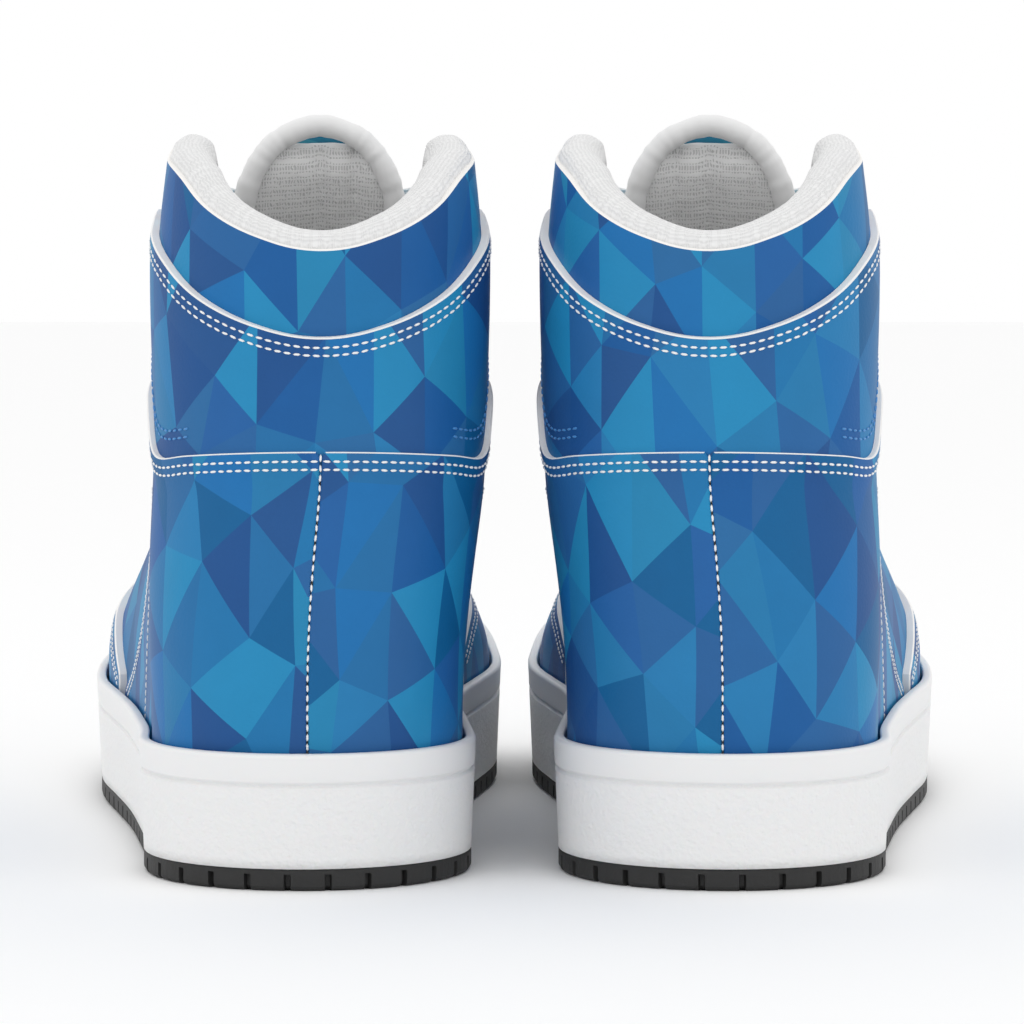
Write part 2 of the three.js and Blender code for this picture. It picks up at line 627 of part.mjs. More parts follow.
// The rolled edge runs up one side of the pad, over its top and down the other.
function tongueRoll() {
  const reach = [0.4, 0.55, 0.7, 0.8, 0.88, 0.94, 0.975];
  const radius = TONGUE_EDGE_ROLL / 2;
  const depth = padFrom + radius + ROLL_GAP;
  const side = (sign) => reach.map((along) => onTongue(sign * tongueHalf(along, ROLL_INSET + 2), along, depth));
  const stops = [...side(-1), onTongue(0, 1, depth), ...side(1).reverse()];
  const path = new THREE.CatmullRomCurve3(stops, false, "centripetal");
  const section = new THREE.Shape().absarc(0, 0, radius, 0, 2 * Math.PI);
  const g = new THREE.ExtrudeGeometry(section, { steps: 16, curveSegments: 4, extrudePath: path });
  g.deleteAttribute("normal");
  g.deleteAttribute("uv");
  const room = tongueSheet(PAD_TOP - SEAM_GAP, PAD_EDGE - SEAM_GAP, PAD_FROM, [
    padFrom + TONGUE_PAD + SEAM_GAP,
    padFrom - SEAM_GAP,
  ]);
  return geometryOf(solidOf(mergeVertices(g, 1e-3)).subtract(solidOf(room)));
}

// ---- Lace: crosses from eyelet to eyelet over the tongue -------------------------------------------------
const LACE_GAP = 1.8; // keeps the laces clear of the eyestay's flat facets
const LACE_UNDER = overOut + LACE_GAP;
const LACE_SAG = LACE_UNDER + TONGUE_INSET - 1;
function laceRun(rowA, sideA, rowB) {
  const [a, b] = [eyeletZ(rowA), eyeletZ(rowB)];
  // Stations across the throat: out past the eyelet, at the throat's edge and down on the tongue.
  const reach = (z) => [eyeletHalf(z) + 2.5, throatHalf(z) + 0.5, throatHalf(z) * 0.5];
  const stops = [0, 1, 2, 2, 1, 0].map((stop, i) => [stop, i < 3 ? sideA : -sideA]);
  const points = [];
  stops.forEach(([stop, side], i) => {
    const z = mix(a, b, [0, 0.26, 0.4, 0.6, 0.74, 1][i]);
    const half = reach(z)[stop];
    const out = LACE_UNDER - (stop === 2 ? LACE_SAG : 0);
    for (const [across, thick] of [[-1, 0], [1, 0], [1, 1], [-1, 1]]) {
      const edgeZ = z + (across * LACE_WIDTH * 0.8) / 2;
      points.push(onShoe(side * phiAtHalf(half, edgeZ), edgeZ, out + thick * LACE_THICKNESS));
    }
  });
  const triangles = [[0, 2, 1], [0, 3, 2], [20, 21, 22], [20, 22, 23]];
  for (let i = 0; i < 20; i += 4)
    for (let k = 0; k < 4; k++) {
      const [c, d] = [i + k, i + ((k + 1) % 4)];
      triangles.push([c, d, d + 4], [c, d + 4, c + 4]);
    }
  return closedMesh(points, triangles);
}
function lace() {
  let solid = solidOf(laceRun(0, 1, 0));
  for (let row = 0; row + 1 < EYELET_ROWS; row++)
    for (const side of [1, -1]) solid = solid.add(solidOf(laceRun(row, side, row + 1)));
  // The crossings trap slivers of air, so only the outer skin is kept.
  const skins = solid.decompose().sort((a, b) => b.volume() - a.volume());
  return geometryOf(skins[0]);
}

// ---- Assembly -------------------------------------------------------------------------------------------
const paint = (hex, roughness) => new THREE.MeshStandardMaterial({ color: hex, roughness, metalness: 0 });
const PRINT = paint("#2470aa", 0.55);
const PRINT_CYAN = paint("#3a9dbb", 0.55);
const WHITE_FABRIC = paint("#e4e4e4", 0.9);
const WHITE_RUBBER = paint("#ececec", 0.6);
const BLACK_RUBBER = paint("#1f1f1f", 0.75);
const BOARD = paint("#c9c2b4", 0.9);
const FOAM = paint("#d8d8d0", 0.95);
const INSOLE_CLOTH = paint("#dddddd", 0.9);

const pieces = [
  ["outsole", outsole(), BLACK_RUBBER],
  ["midsole", midsole(), WHITE_RUBBER],
  ["heel_cushion", heelCushion(), FOAM],
  ["strobel_board", strobelBoard(), BOARD],
  ["insole", insole(), INSOLE_CLOTH],
  ["heel_counter", heelCounter(), BOARD],
  ["toe_puff", toePuff(), BOARD],
  ["toe_box", toeBox(), PRINT],
  ["toe_overlay", toeOverlay(), PRINT],
  ...bothSides("quarter", quarter, PRINT),
  ...bothSides("heel_panel", heelPanel, PRINT),
  ["eyestay_lateral", eyestay(1), PRINT],
  ["eyestay_medial", eyestay(-1), PRINT],
  ["collar_panel", collarPanel(), PRINT],
  ["ankle_band", ankleBand(), PRINT],
  ["quarter_lining", quarterLining(), WHITE_FABRIC],
  ["vamp_lining", vampLining(), WHITE_FABRIC],
  ["collar_foam", collarFoam(), FOAM],
  ["collar_lining", collarLining(), WHITE_FABRIC],
  ["tongue_cover", tongueCover(), PRINT_CYAN],
  ["tongue_padding", tonguePad(), WHITE_FABRIC],
  ["tongue_edge_roll", tongueRoll(), WHITE_FABRIC],
  ["lace", lace(), WHITE_FABRIC],
];

// Mirrors a closed geometry in X, and turns its faces back out.
function mirrored(geometry) {
  const g = geometry.clone().scale(-1, 1, 1);
  const index = g.index.array;
  for (let i = 0; i < index.length; i += 3) [index[i + 1], index[i + 2]] = [index[i + 2], index[i + 1]];
  return g;
}
function shoe(side) {
  const group = new THREE.Group();
  for (const [name, geometry, material] of pieces) {
    const mesh = new THREE.Mesh(side === "left" ? geometry : mirrored(geometry), material);
    mesh.name = `${side}_${name}`;
    group.add(mesh);
  }
  const sign = side === "left" ? -1 : 1;
  group.position.x = (sign * SHOE_SPACING) / 2;
  group.rotation.z = -sign * THREE.MathUtils.degToRad(TOE_OUT);
  return group;
}

const pair = new THREE.Group();
pair.add(shoe("left"), shoe("right"));
// The origin is on the ground at the middle of the pair's footprint.
const footprint = new THREE.Box3().setFromObject(pair, true).getCenter(new THREE.Vector3());
pair.children.forEach((one) => (one.position.y -= footprint.y));

export default pair;
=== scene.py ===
import math
import random

import bmesh
import bpy
import numpy as np
from bpy.props import FloatProperty, PointerProperty
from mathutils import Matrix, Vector
from mathutils.geometry import delaunay_2d_cdt
from mathutils.kdtree import KDTree


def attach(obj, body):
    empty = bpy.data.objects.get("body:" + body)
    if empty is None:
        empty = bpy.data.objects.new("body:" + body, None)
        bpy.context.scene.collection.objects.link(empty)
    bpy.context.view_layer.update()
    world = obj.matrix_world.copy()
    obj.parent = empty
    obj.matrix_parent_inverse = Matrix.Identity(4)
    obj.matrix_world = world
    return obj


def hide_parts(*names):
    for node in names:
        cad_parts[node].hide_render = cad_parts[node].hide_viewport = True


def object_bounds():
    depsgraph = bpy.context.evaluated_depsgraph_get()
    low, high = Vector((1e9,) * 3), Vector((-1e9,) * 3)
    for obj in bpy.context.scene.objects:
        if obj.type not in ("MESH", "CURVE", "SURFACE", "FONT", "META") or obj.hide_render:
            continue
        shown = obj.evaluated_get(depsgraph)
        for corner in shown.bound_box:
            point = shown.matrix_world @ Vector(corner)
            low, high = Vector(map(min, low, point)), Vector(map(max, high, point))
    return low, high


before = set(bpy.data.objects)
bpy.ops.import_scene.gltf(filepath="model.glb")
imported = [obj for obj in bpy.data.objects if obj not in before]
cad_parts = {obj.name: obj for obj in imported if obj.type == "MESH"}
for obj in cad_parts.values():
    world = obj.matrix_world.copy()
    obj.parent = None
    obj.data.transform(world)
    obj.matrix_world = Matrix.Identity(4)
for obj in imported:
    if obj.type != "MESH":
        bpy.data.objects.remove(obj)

bl_info = {
    "name": "High tops",
    "version": (1, 0, 0),
    "blender": (4, 5, 0),
    "location": "View3D > Sidebar > High tops",
    "description": "Builds a pair of printed cupsole high tops around their CAD frame",
    "category": "Object",
}

# ---- The frame -----------------------------------------------------------------------------------
MM = 0.001
CAD_BOX = [list(corner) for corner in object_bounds()]
SIDES = ("left", "right")
SHOES = "shoes"  # the body that everything but the tongues rides on


# ---- Sizes in millimetres, in one shoe's own frame: heel seam at the origin, toes to +Y ----------
LENGTH = 290.0
CUP_HEIGHT = 32.5
CUP_FLOOR = 14.5
OUTSOLE = 5.0
CUP_WALL = 2.6
CUP_FLARE = 1.2
TOE_SPRING = 12.0
SPRING_START = 180.0
LEATHER = 1.6
LINING = 1.2
LINING_GAP = 1.8
SEAM_GAP = 0.5
CUP_GAP = 0.7
OVER_IN, OVER_OUT = SEAM_GAP, SEAM_GAP + LEATHER
CUP_INSIDE = OVER_OUT + CUP_GAP
CUP_OUTSIDE = CUP_INSIDE + CUP_WALL
LINED_IN, LINED_OUT = -LEATHER - LINING_GAP - LINING, -LEATHER - LINING_GAP
UPPER_BOTTOM = CUP_FLOOR + SEAM_GAP
SHOE_SPACING = 97.6
TOE_OUT = math.radians(2.5)
EYELET_ROWS = 7
EYELET_RADIUS = 2.3
EYELET_SETBACK = 8.0


def through(stations):
    """A smooth curve through [at, value] stations, held level beyond both ends."""
    at, value = np.array(stations, float).T
    slope = np.empty_like(value)
    for i in range(len(at)):
        a, b = max(i - 1, 0), min(i + 1, len(at) - 1)
        slope[i] = (value[b] - value[a]) / (at[b] - at[a])

    def curve(x):
        x = np.clip(x, at[0], at[-1])
        i = np.clip(np.searchsorted(at, x, side="right") - 1, 0, len(at) - 2)
        width = at[i + 1] - at[i]
        t = (x - at[i]) / width
        rise = value[i + 1] - value[i]
        m0, m1 = slope[i] * width, slope[i + 1] * width
        return value[i] + t * (m0 + t * (3 * rise - 2 * m0 - m1 + t * (m0 + m1 - 2 * rise)))

    return curve


def mix(a, b, t):
    return a + (b - a) * t


def ease(t):
    t = np.clip(t, 0, 1)
    return t * t * (3 - 2 * t)


# ---- The last, which the leather follows ---------------------------------------------------------
heel_y = through([[32.5, 2.5], [50, 0.8], [70, 2], [92, 6], [112, 8.5], [132, 7], [152, 3.5], [190, 0]])
ridge_y = through([
    [32.5, 290], [42, 288.5], [51, 282], [58, 270], [63, 252], [67, 232], [72, 214], [79, 197],
    [89, 181], [104, 164], [122, 148], [142, 135], [162, 125], [180, 118], [200, 112],
])
foot_half = through([
    [0, 36], [50, 35.6], [80, 36.5], [110, 37.9], [138, 41], [170, 46.4], [200, 49.8], [225, 50],
                     [255, 48.5], [290, 44],
])
foot_centre = through([
    [0, 0], [50, 0], [80, -1.5], [110, -3.4], [138, -4.5], [170, -3.9], [200, -1.8], [225, -0.3], [255, 2],
                       [290, 5],
])
leg_half = through([[60, 38], [100, 38.2], [150, 39], [175, 36.6], [190, 35]])
leg_centre = through([[50, 0.5], [75, 2], [100, 3.3], [150, 3.6], [190, 4]])
ridge_round = through([[120, 38], [195, 40], [235, 46], [270, 50]])
HEEL_ROUND = 38.0
LAST_TOP = 200.0


def profile_line(y_at_height, count):
    z = mix(CUP_HEIGHT, LAST_TOP, (np.arange(count + 1) / count) ** 1.4)
    return np.stack([y_at_height(z), z], 1)


HEEL_LINE = profile_line(heel_y, 110)  # fine, because the shape near the heel seam is steep
RIDGE_LINE = profile_line(ridge_y, 90)


def distance_to(line, y, z):
    """Distance in the side view from (y, z) to a line of points."""
    y, z = np.broadcast_arrays(y, z)
    y, z = y[..., None], z[..., None]
    (ay, az), (dy, dz) = line[:-1].T, np.diff(line, axis=0).T
    t = np.clip(((y - ay) * dy + (z - az) * dz) / (dy * dy + dz * dz), 0, 1)
    return np.sqrt(((y - ay - t * dy) ** 2 + (z - az - t * dz) ** 2).min(-1))


def round_over(distance, radius):
    return np.sqrt(np.maximum(0, 1 - (1 - np.clip(distance / radius, 0, 1)) ** 2.2))


def spring_at(y):
    return TOE_SPRING * np.maximum(0, (y - SPRING_START) / (LENGTH - SPRING_START)) ** 2


def leg_share(h):
    return ease((h - 36) / (98 - 36))


def centre_at(y, h):
    return mix(foot_centre(y), leg_centre(h), leg_share(h))


def half_at(y, h):
    to_heel = np.minimum(y - heel_y(h), distance_to(HEEL_LINE, y, h))
    to_ridge = np.minimum(ridge_y(h) - y, distance_to(RIDGE_LINE, y, h))
    rounded = round_over(to_heel, HEEL_ROUND) * round_over(to_ridge, ridge_round(y))
    return mix(foot_half(y), leg_half(h), leg_share(h)) * rounded


def y_at(phi, z):
    h = np.maximum(z, CUP_HEIGHT)
    return mix(heel_y(h), ridge_y(h), (1 - np.cos(phi)) / 2)


def phi_at_y(y, z):
    h = np.maximum(z, CUP_HEIGHT)
    share = (y - heel_y(h)) / (ridge_y(h) - heel_y(h))
    return np.arccos(1 - 2 * np.clip(share, 0, 1))


def phi_at_half(half, z):
    """Where, on the front half of the lateral side, the last is that far from its centre line."""
    low = np.full(np.shape(z), math.pi * 0.45)
    high = np.full(np.shape(z), math.pi - 1e-4)
    for _ in range(20):
        middle = (low + high) / 2
        wide = half_at(y_at(middle, z), z) > half
        low, high = np.where(wide, middle, low), np.where(wide, high, middle)
    return (low + high) / 2


def last_point(phi, z):
    h = np.maximum(z, CUP_HEIGHT)
    y = y_at(phi, h)
    x = centre_at(y, h) - np.sign(np.sin(phi)) * half_at(y, h)
    return np.stack(np.broadcast_arrays(x, y, z), -1)


def unit(v):
    return v / np.maximum(np.linalg.norm(v, axis=-1, keepdims=True), 1e-12)


def last_normal(phi, z):
    e = 0.02
    h = np.maximum(z, CUP_HEIGHT + e)
    around = last_point(phi + e, h) - last_point(phi - e, h)
    up = last_point(phi, h + 1) - last_point(phi, h - 1)
    up = np.where((np.asarray(z) <= CUP_HEIGHT)[..., None], np.array([0.0, 0, 1]), up)
    return unit(np.cross(up, around))


def on_shoe(phi, z, out):
    """The last's point moved out along its normal and up with the toe spring."""
    phi, z, out = np.broadcast_arrays(np.asarray(phi, float), np.asarray(z, float), np.asarray(out, float))
    p = last_point(phi, z) + last_normal(phi, z) * out[..., None]
    p[..., 2] += spring_at(p[..., 1])
    return p


# Unrolled coordinates: u runs round the last from the heel seam, + on the lateral side, and v is the height.
CHART_Z = np.arange(12.0, 186.0, 2.0)
CHART_PHI = np.linspace(0, math.pi, 361)
U_STEP = 0.5


def make_chart():
    z, phi = np.meshgrid(CHART_Z, CHART_PHI, indexing="ij")
    p = last_point(phi, z)
    step = np.linalg.norm(np.diff(p, axis=1), axis=2)
    arc = np.concatenate([np.zeros((len(CHART_Z), 1)), np.cumsum(step, 1)], 1)
    u = np.arange(0, 460, U_STEP)
    back = np.array([np.interp(u, row, CHART_PHI) for row in arc])
    return arc, back


ARC, BACK = make_chart()


def look_up(table, row, column):
    row = np.clip(row, 0, table.shape[0] - 1.001)
    column = np.clip(column, 0, table.shape[1] - 1.001)
    i, j = np.floor(row).astype(int), np.floor(column).astype(int)
    s, t = row - i, column - j
    near = mix(table[i, j], table[i, j + 1], t)
    return mix(near, mix(table[i + 1, j], table[i + 1, j + 1], t), s)


def unrolled(phi, z):
    row = (np.asarray(z) - CHART_Z[0]) / 2.0
    return np.sign(phi) * look_up(ARC, row, np.abs(phi) / (CHART_PHI[1] - CHART_PHI[0]))


def rolled(u, z):
    row = (np.asarray(z) - CHART_Z[0]) / 2.0
    return np.sign(u) * look_up(BACK, row, np.abs(u) / U_STEP)


# ---- Pattern lines of the upper, in the side view ------------------------------------------------
collar_edge = through([
    [3.5, 150], [6, 153.4], [14, 161], [21, 167], [30, 170.3], [45, 172.5], [65, 174], [84, 174],
                       [95, 170.5], [110, 160],
])
band_top = through([[7, 129.5], [9.5, 132.5], [17, 139.5], [27, 148], [40, 154], [60, 157.5], [84, 159]])
band_bottom = through([[7, 103.5], [20, 102], [30, 101], [37, 104], [44, 113], [54, 119], [84, 124]])
heel_panel_front = through([[15, 142], [32.5, 137], [42, 119], [60, 95], [85, 75], [108, 62], [120, 55]])
toe_overlay_top = through([[150, 36], [170, 47], [192, 55], [215, 57], [245, 54], [270, 50], [292, 47]])
vamp_line = through([[15, 222], [45, 216], [60, 208], [78, 196]])
throat_half = through([[78, 13], [110, 15], [145, 19], [176, 25]])
eyestay_back = through([[62, 197], [80, 176], [100, 150], [125, 121], [150, 105], [178, 93]])
THROAT_START = 78.0
BAND_FRONT = 84.0
PANEL_CORNER = 54.0  # where the heel panel's top edge ends
HEM = 7.0  # how far a piece runs on under the one that is stitched over it


def heel_panel_top(y):
    return band_bottom(np.minimum(y, PANEL_CORNER)) - 1.0


def counter_split(y):
    return 104 + 0.13 * y


THROAT_Z = np.linspace(60, 190, 131)
THROAT_PHI = phi_at_half(throat_half(THROAT_Z), THROAT_Z)


def throat_phi(z):
    return np.interp(z, THROAT_Z, THROAT_PHI)


def throat_edge(z):
    return np.where(z < THROAT_START, phi_at_y(vamp_line(z), z), throat_phi(z))


def level(z):
    return lambda *_: z


class Panel:
    """A piece of leather between two phi edges, which vary with z, and two z edges, which vary with y."""

    def __init__(self, start, end, low, high, medial=False):
        sign = -1 if medial else 1
        self.start = lambda z: sign * start(z)
        self.end = lambda z: sign * end(z)
        self.low, self.high = low, high

    def place(self, p, q):
        p, q = np.broadcast_arrays(np.asarray(p, float), np.asarray(q, float))
        z = np.full(p.shape, 80.0)
        phi = mix(self.start(z), self.end(z), p)
        for _ in range(16):
            y = y_at(phi, z)
            z = mix(self.low(y), self.high(y, phi), q)
            phi = mix(self.start(z), self.end(z), p)
        return phi, z

    def edge(self, name, chart, count=160):
        t = np.linspace(0, 1, count)
        p, q = {"bottom": (t, 0), "front": (1, t), "top": (1 - t, 1), "back": (0, 1 - t)}[name]
        return chart.flat(*self.place(p, q))

    def outline(self, chart):
        return np.concatenate([self.edge(name, chart)[:-1] for name in ("bottom", "front", "top", "back")])


class Wrapped:
    """The unrolled chart, for what stands round the foot."""

    @staticmethod
    def flat(phi, z):
        return np.stack([unrolled(phi, z), z], -1)

    @staticmethod
    def solid(uv):
        return rolled(uv[:, 0], uv[:, 1]), uv[:, 1]

    on = staticmethod(on_shoe)


class RoundToe(Wrapped):
    """The same, but u runs from the tip of the toes, + on the medial side."""

    @staticmethod
    def flat(phi, z):
        beyond = phi - math.pi
        u = unrolled(math.pi, z) - unrolled(math.pi - np.abs(beyond), z)
        return np.stack([np.sign(beyond) * u, z], -1)

    @staticmethod
    def solid(uv):
        u, z = uv.T
        back = rolled(np.maximum(unrolled(math.pi, z) - np.abs(u), 0), z)
        return math.pi + np.sign(u) * (math.pi - back), z


class Plan(Wrapped):
    """The chart seen from above, for the top of the toes."""

    @staticmethod
    def flat(phi, z):
        return last_point(phi, z)[..., :2]

    @staticmethod
    def solid(uv):
        x, y = uv.T
        low, high = np.full(len(x), 38.0), np.full(len(x), 90.0)
        for _ in range(24):
            z = (low + high) / 2
            inside = np.abs(x - centre_at(y, z)) < half_at(y, z)
            low, high = np.where(inside, z, low), np.where(inside, high, z)
        return np.where(x < centre_at(y, z), 1, -1) * phi_at_y(y, z), z


def resampled(line, spacing):
    length = np.concatenate([[0], np.cumsum(np.linalg.norm(np.diff(line, axis=0), axis=1))])
    at = np.linspace(0, length[-1], max(2, int(round(length[-1] / spacing)) + 1))
    return np.stack([np.interp(at, length, line[:, k]) for k in range(line.shape[1])], 1)


def shifted(line, distance, trim=(0, 0), spacing=0.8):
    """The same line moved to its left, with a length trimmed off each end."""
    line = resampled(line, 1.5)
    along = unit(np.gradient(line, axis=0))
    moved = line + distance * np.stack([-along[:, 1], along[:, 0]], 1)
    keep = [0]
    for i in range(1, len(moved)):  # a tight inside corner folds the line back, and the fold is left out
        if np.dot(moved[i] - moved[keep[-1]], along[i]) > 0.3:
            keep.append(i)
    moved = resampled(moved[keep], spacing)
    first, last = int(trim[0] / spacing), len(moved) - int(trim[1] / spacing)
    return moved[first:last]


def inside_polygon(points, polygon):
    x, y = points.T
    inside = np.zeros(len(points), bool)
    for (ax, ay), (bx, by) in zip(polygon, np.roll(polygon, -1, 0)):
        crosses = (ay > y) != (by > y)
        if ay != by:
            inside ^= crosses & (x < (bx - ax) * (y - ay) / (by - ay) + ax)
    return inside


# ---- The print: a mosaic of tall triangles -------------------------------------------------------
def linear(hex_colour):
    """An sRGB hex colour as linear RGBA."""
    channels = [int(hex_colour[i : i + 2], 16) / 255 for i in (1, 3, 5)]
    return [c / 12.92 if c <= 0.04045 else ((c + 0.055) / 1.055) ** 2.4 for c in channels] + [1.0]


BLUES = ["#1e73aa", "#226da4", "#28639d", "#2387b8", "#2a699f", "#1c6fae", "#267bb1", "#2360a0", "#296099",
         "#2478ab",
         "#23548e", "#2488b9", "#1e518d", "#0f5f94", "#2483b1", "#195b9b"]
CYANS = ["#43a2be", "#3b9ab8", "#4aabc4", "#3592b4", "#50aec6"]
COLUMN, ROW = 13.0, 25.0  # the triangles' usual width and height


def mosaic(low, high, seed, palette):
    """Triangles over a box of chart coordinates: their corners, and a colour for each."""
    rng = random.Random(seed)
    columns = int((high[0] - low[0]) / COLUMN) + 4
    rows = int((high[1] - low[1]) / ROW) + 4
    start = (low[0] - COLUMN * (1 + rng.random()), low[1] - ROW * (1 + rng.random()))
    corner = [[(start[0] + COLUMN * (i + rng.uniform(-0.2, 0.2)),
                start[1] + ROW * (j + 0.5 * (i % 2) + rng.uniform(-0.27, 0.27)))
               for j in range(rows)] for i in range(columns)]
    triangles = []
    for i in range(columns - 1):
        a, b = (corner[i], corner[i + 1]) if i % 2 == 0 else (corner[i + 1], corner[i])
        for j in range(rows - 1):
            triangles += [(a[j], a[j + 1], b[j]), (a[j + 1], b[j + 1], b[j])]
    shades = []
    for _ in triangles:
        shade = rng.choice(palette)
        while shades and shade == shades[-1]:
            shade = rng.choice(palette)
        shades.append(shade)
    return np.array(triangles), np.array([linear(shade) for shade in shades])


def find_triangle(points, triangles):
    """The index of the triangle that each point lies in."""
    found = np.zeros(len(points), int)
    for k, (a, b, c) in enumerate(triangles):
        sides = [(q[0] - p[0]) * (points[:, 1] - p[1]) - (q[1] - p[1]) * (points[:, 0] - p[0])
                 for p, q in ((a, b), (b, c), (c, a))]
        within = np.all(np.array(sides) >= 0, 0) | np.all(np.array(sides) <= 0, 0)
        found[within] = k
    return found


# ---- Meshes --------------------------------------------------------------------------------------
class Build:
    """Gathers one piece's points and faces in a shoe's own frame, in millimetres."""

    def __init__(self):
        self.points, self.faces, self.slots, self.smooth, self.shades, self.count = [], [], [], [], [], 0
        self.facing = {}  # unit normals for the points of a sheet's face, by index

    def add(self, points, faces, slot=0, smooth=True, shades=None):
        points = np.asarray(points, float).reshape(-1, 3)
        self.points.append(points)
        for k, face in enumerate(faces):
            self.faces.append([int(i) + self.count for i in face])
            self.slots.append(slot if np.isscalar(slot) else slot[k])
            self.smooth.append(smooth)
            self.shades.append((1, 1, 1, 1) if shades is None else tuple(shades[k]))
        self.count += len(points)

    def mesh(self, name, side, materials):
        points = placed(np.concatenate(self.points), side)
        faces = [face[::-1] for face in self.faces] if side == "right" else self.faces
        mesh = bpy.data.meshes.new(name)
        mesh.from_pydata((points * MM).tolist(), [], faces)
        for material in materials:
            mesh.materials.append(material)
        mesh.polygons.foreach_set("material_index", self.slots)
        mesh.polygons.foreach_set("use_smooth", self.smooth)
        if any(shade != (1, 1, 1, 1) for shade in self.shades):
            attribute = mesh.attributes.new("print", "FLOAT_COLOR", "CORNER")
            colours = [c for face, shade in zip(faces, self.shades) for _ in face for c in shade]
            attribute.data.foreach_set("color", colours)
        mesh.update()
        if self.facing:
            self.face_out(mesh, side)
        return mesh

    def face_out(self, mesh, side):
        """Shades the sheet's face by the surface it follows, so that its narrow triangles don't show."""
        at = sorted(self.facing)
        tips = np.array([self.facing[k] for k in at])
        turned_tips = unit(placed(tips, side) - placed(np.zeros_like(tips), side))
        of_point = dict(zip(at, turned_tips.tolist()))
        normals = [(0.0, 0.0, 0.0)] * len(mesh.loops)
        for face in mesh.polygons:
            if face.use_smooth and face.vertices[0] in of_point:
                for loop in face.loop_indices:
                    normals[loop] = of_point.get(mesh.loops[loop].vertex_index, (0.0, 0.0, 0.0))
        mesh.normals_split_custom_set(normals)


def turned(points, side):
    """From a left shoe's own frame to its place beside the other shoe, still without the shift in Y."""
    turn = np.array([[math.cos(TOE_OUT), -math.sin(TOE_OUT)], [math.sin(TOE_OUT), math.cos(TOE_OUT)]])
    moved = np.array(points, float)
    moved[..., :2] = moved[..., :2] @ turn.T
    moved[..., 0] -= SHOE_SPACING / 2
    if side == "right":
        moved[..., 0] *= -1
    return moved


LIP = on_shoe(np.linspace(-math.pi, math.pi, 721), CUP_HEIGHT, CUP_OUTSIDE)
SHIFT_Y = CAD_BOX[0][1] / MM - turned(LIP, "left")[:, 1].min()


def placed(points, side):
    moved = turned(points, side)
    moved[..., 1] += SHIFT_Y
    return moved


def show(mesh, body, slot_name, replaces=()):
    piece = bpy.data.objects.new(mesh.name, mesh)
    bpy.context.scene.collection.objects.link(piece)
    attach(piece, body)
    if replaces:
        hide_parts(*replaces)
    return piece


CHAMFER = 0.35


def sheet_normals(chart, uv, out, step=0.6):
    """The directions that a sheet's face looks in, from its neighbourhood in the chart."""
    def at(shift):
        moved = uv + shift
        return chart.on(*chart.solid(moved), out(moved) if callable(out) else float(out))

    across = at([step, 0]) - at([-step, 0])
    along = at([0, step]) - at([0, -step])
    normal = unit(np.cross(across, along))
    outward = chart.on(*chart.solid(uv), 1.0) - chart.on(*chart.solid(uv), 0.0)
    return normal * np.sign(np.einsum("ij,ij->i", normal, outward))[:, None]


